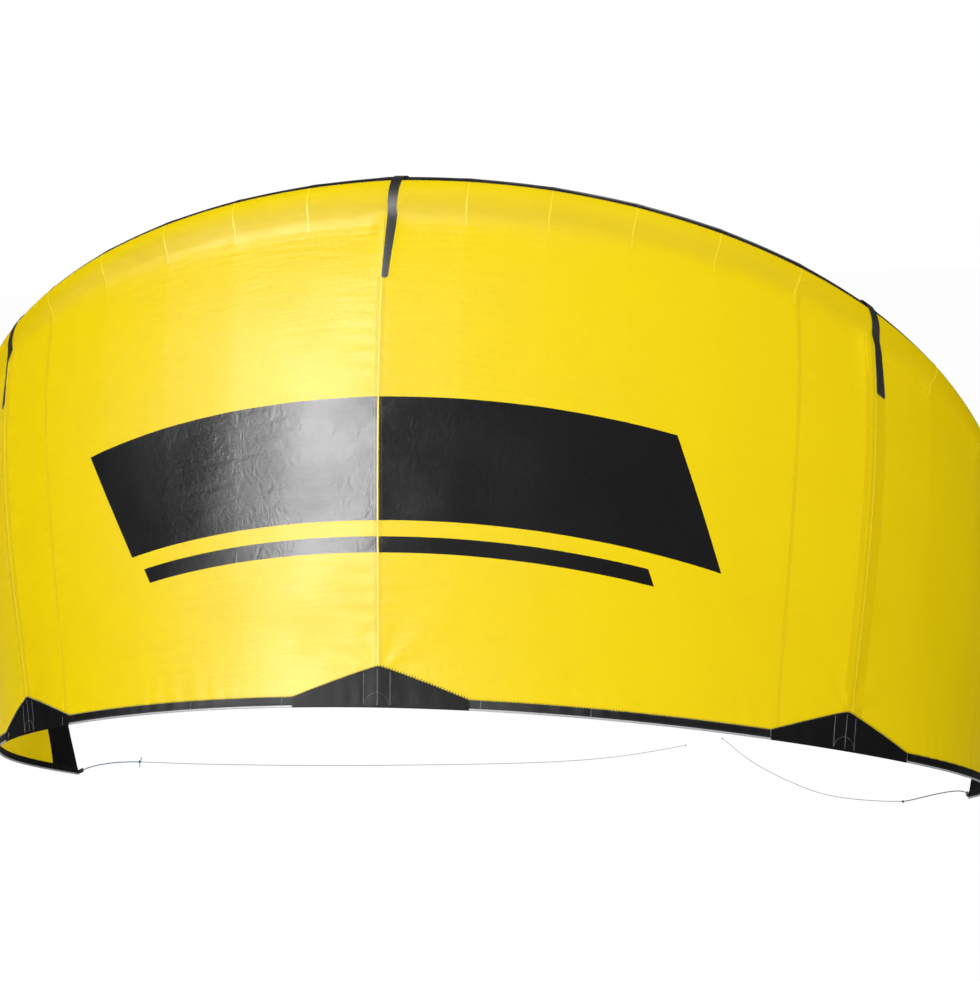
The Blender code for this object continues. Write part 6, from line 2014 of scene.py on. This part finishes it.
def strap(name, path, normals, width, thickness, finish):
    """Webbing swept along a path, flat side facing along its normals, with rounded edges."""
    path, normals = np.array(path, float), np.array(normals, float)
    along = unit(np.gradient(path, axis=0))
    normals = unit(normals - along * dot(normals, along))
    across = np.cross(along, normals)
    half, thick, soft = width / 2, thickness / 2, min(thickness * 0.5, width * 0.2)
    upper = [(-half, 0.0), (-half + soft * 0.3, thick * 0.7), (-half + soft, thick), (0.0, thick),
             (half - soft, thick), (half - soft * 0.3, thick * 0.7)]
    outline = upper + [(-side, -rise) for side, rise in upper]
    rings = np.stack([path + across * side + normals * rise for side, rise in outline], 1)
    turn = np.array([point[0] for point in outline] + [outline[0][0]])
    x, y = np.meshgrid(turn, distances(path))
    faces = grid_faces(len(path), len(outline), wrap=True)
    return face_out(add_mesh(name, rings, faces.tolist(), [FINISH[finish]], grid_uv(x, y)))


TAB_EYE_HEIGHT, TAB_EYE_MIDDLE, TAB_EYE_STEPS = 0.021, 0.01325, 25
TAB_THICK, TAB_WIDTH = 0.0022, 0.014
# Half length, half width and thickness of a tab's base patch
TAB_BASE = (0.023, 0.012, 0.0025)
# Points of the loop's foot, from the eye outwards: place, height and the way its flat side faces
TAB_FOOT = ((0.0150, 0.0052, (0.7, 0, 0.7)), (0.0165, 0.0038, (0, 0, 1)), (TAB_BASE[0], 0.0038, (0, 0, 1)))
TAB_TACK, TAB_TACK_AT = (0.0024, 0.0052, 0.0051), 0.0195
TAB_PATCH_REACH, TAB_PATCH_HOLE, TAB_PATCH_STRETCH = 0.042, 0.0005, 1.25


def bridle_loop():
    """Middle line of a standing loop from foot to foot, and the way its flat side faces."""
    foot = [((x, 0.0, z), way) for x, z, way in TAB_FOOT]
    line = [((-x, y, z), (-a, b, c)) for (x, y, z), (a, b, c) in foot[::-1]]
    for k in range(TAB_EYE_STEPS):
        angle = math.radians(205 - 230 * k / (TAB_EYE_STEPS - 1))
        x, z = math.cos(angle), math.sin(angle)
        line.append(((TAB_EYE_MIDDLE * x, 0.0, TAB_EYE_HEIGHT + TAB_EYE_MIDDLE * z), (x, 0, z)))
    return zip(*line, *foot)


def make_bridle_tabs():
    """Standing webbing loops on the leading edge, sewn down through a base patch."""
    loop, out = bridle_loop()
    base = [(x, 0.0, TAB_BASE[2] / 2) for x in np.linspace(-TAB_BASE[0], TAB_BASE[0], 9)]
    for side, word in SIDES:
        for kind, section in TAB_SECTIONS.items():
            name = f"{word}_{kind}"
            middle = side * float(LE_SEAMS[section] + LE_SEAMS[section + 1]) / 2
            place = tube_facet(section, TAB_FACET, side, vector(tube_frames(middle)[1]), 0.5, TAB_SET)
            piece = turned(strap(f"{name}_bridle_loop", loop, out, TAB_WIDTH, TAB_THICK, "webbing"), place)
            up = [(0, 0, 1)] * len(base)
            flat = strap(f"{name}_bridle_base", base, up, 2 * TAB_BASE[1], TAB_BASE[2], "webbing")
            turned(flat, place)
            for k, x in enumerate((-TAB_TACK_AT, TAB_TACK_AT)):
                tack(f"{name}_tab_tack_{k + 1}", place @ Matrix.Translation((x, 0, 0)), *TAB_TACK)
            dress(piece, "webbing", f"{name}_bridle_tab")
            dress(flat, "webbing")
            around_patch(f"{name}_tab_patch", place, TAB_PATCH_REACH, TAB_PATCH_HOLE, TAB_PATCH_STRETCH)


def make_rear_tabs():
    """A strap folded back on itself at each rear corner, which holds the pigtail."""
    for side, word in SIDES:
        place = rear_frame(side)
        thick = REAR_TAB_THICKNESS / 2
        bend = thick / 2
        path, out = [(0.0, 0.0, bend)], [(0, 0, 1)]
        for k in range(9):
            angle = math.radians(90 - 22.5 * k)
            path.append((REAR_TAB_LENGTH - thick + bend * math.cos(angle), 0.0, bend * math.sin(angle)))
            out.append((math.cos(angle), 0, math.sin(angle)))
        path.append((0.0, 0.0, -bend))
        out.append((0, 0, -1))
        piece = strap(f"{word}_rear_strap", path, out, REAR_TAB_WIDTH, thick * 0.96, "webbing")
        turned(piece, place)
        tack(f"{word}_rear_tack", place @ Matrix.Translation((0.014, 0, 0)), 0.009, 0.0062, thick + 0.0002)
        dress(piece, "webbing", f"{word}_rear_tab")


HANDLE_FROM, HANDLE_RUN, HANDLE_FLAT = 0.40, 0.16, 0.12
HANDLE_RISE, HANDLE_WIDTH, HANDLE_THICK = 0.05, 0.034, 0.004
HANDLE_STEPS, HANDLE_SET = 49, 0.0006
GRIP_FROM, GRIP_TO, GRIP_WIDER, GRIP_THICKER = 0.30, 0.72, 0.004, 0.0055


def make_handle():
    """Arched webbing handle on the middle strut with a padded grip sleeve."""
    path, out = [], []
    for k in range(HANDLE_STEPS):
        share = k / (HANDLE_STEPS - 1)
        v = np.array(HANDLE_FROM + HANDLE_RUN * share)
        inward = -surface_normal(np.array(0.0), v)
        base = strut_centre(np.array(0.0), v) + inward * strut_radius(v)
        rise = min(max((share - HANDLE_FLAT) / (1 - 2 * HANDLE_FLAT), 0.0), 1.0)
        height = HANDLE_RISE * (1 - (2 * rise - 1) ** 4) + HANDLE_SET + HANDLE_THICK / 2
        path.append(base + inward * height)
        out.append(inward)
    piece = strap("strut_handle_web", path, out, HANDLE_WIDTH, HANDLE_THICK, "webbing")
    dress(piece, "webbing", "strut_handle")
    for k, spot in enumerate((2, HANDLE_STEPS - 3)):
        along = vector(unit(path[spot + 1] - path[spot - 1]))
        place = local_frame(vector(path[spot]), along, square_to(vector(out[spot]), along))
        tack(f"handle_tack_{k + 1}", place, 0.0070, 0.0130, HANDLE_THICK / 2 + 0.0002)
    low, high = int(HANDLE_STEPS * GRIP_FROM), int(HANDLE_STEPS * GRIP_TO)
    grip = strap("strut_handle_grip", path[low:high], out[low:high], HANDLE_WIDTH + GRIP_WIDER,
                 HANDLE_THICK + GRIP_THICKER, "patch")
    dress(grip, "black_cloth")


# Ends of the leading edge and its bladder

END_RINGS, END_WALL = (0.0, 0.35, 0.6, 0.78, 0.9, 0.965, 0.992, 0.9995), 0.0007
FILM_CLEARANCE, FILM_END, FILM_END_LENGTH = -0.0058, 0.985, 0.024
LEADING_FILM_SIDES, LEADING_FILM_RINGS = 24, 80


def make_tube_ends():
    """Domed ends sewn to the last ring of the tube."""
    angle = np.linspace(-math.pi, math.pi, TUBE_SIDES, endpoint=False)
    for side, word in SIDES:
        axis = tube_axis(np.array(float(side)))
        way = unit(axis - tube_axis(np.array(side * float(LE_SEAMS[-2]))))
        ring = tube_points(np.full(TUBE_SIDES, float(side)), angle, 0.0)
        rings = []
        for share in END_RINGS:
            rows = axis + (ring - axis) * math.sqrt(1 - share**2)
            wrinkle = 0.0008 * np.sin(angle * 15 + side) * math.sin(math.pi * share)
            out = way * (SEWN_GAP + TUBE_END_LENGTH * share)
            rings.append(rows + out + unit(ring - axis) * wrinkle[:, None])
        finishes = [FINISH["tube_black"]]
        piece = ring_tube(f"{word}_tube_cap", np.array(rings), finishes, END_WALL, LE_RADIUS_TIP)
        dress(piece, "tube_cloth", f"{word}_tube_end")


def make_leading_film():
    """The air bladder inside the sewn tube, with rounded ends."""
    angle = np.linspace(-math.pi, math.pi, LEADING_FILM_SIDES, endpoint=False)
    shares = np.linspace(-FILM_END, FILM_END, LEADING_FILM_RINGS)
    rings = [tube_points(np.full(LEADING_FILM_SIDES, share), angle, FILM_CLEARANCE) for share in shares]
    for side in (-1, 1):
        axis = tube_axis(side * FILM_END)
        ring = rings[0] if side < 0 else rings[-1]
        way = unit(axis - tube_axis(side * (FILM_END - 0.015)))
        for share in (0.5, 0.85, 0.99):
            made = axis + (ring - axis) * math.sqrt(1 - share**2) + way * (FILM_END_LENGTH * share)
            rings = [made, *rings] if side < 0 else [*rings, made]
    film_skin("leading_edge_film", np.array(rings), "leading_edge_bladder", LE_RADIUS_CENTRE)


# Main

make_camera()
make_light()
make_floor()
make_rear_lines()
canopy = make_canopy()
hems = make_hems()
patches = make_patches()
darts = make_darts()
tapes = make_seam_tapes()
make_leading_edge()
make_seam_lines()
make_hem_threads()
make_seam_threads()
make_struts()
make_leading_film()
make_tube_ends()
make_bridle_tabs()
make_rear_tabs()
make_handle()
make_valves()
make_hoses()
extras = {word: list(pieces) for word, pieces in hems.items()}
extras["left_bay"] += [patches[0], darts[0], tapes[0]]
extras["right_bay"] += [*patches[1:], *darts[1:], *tapes[1:]]
declare_canopy()
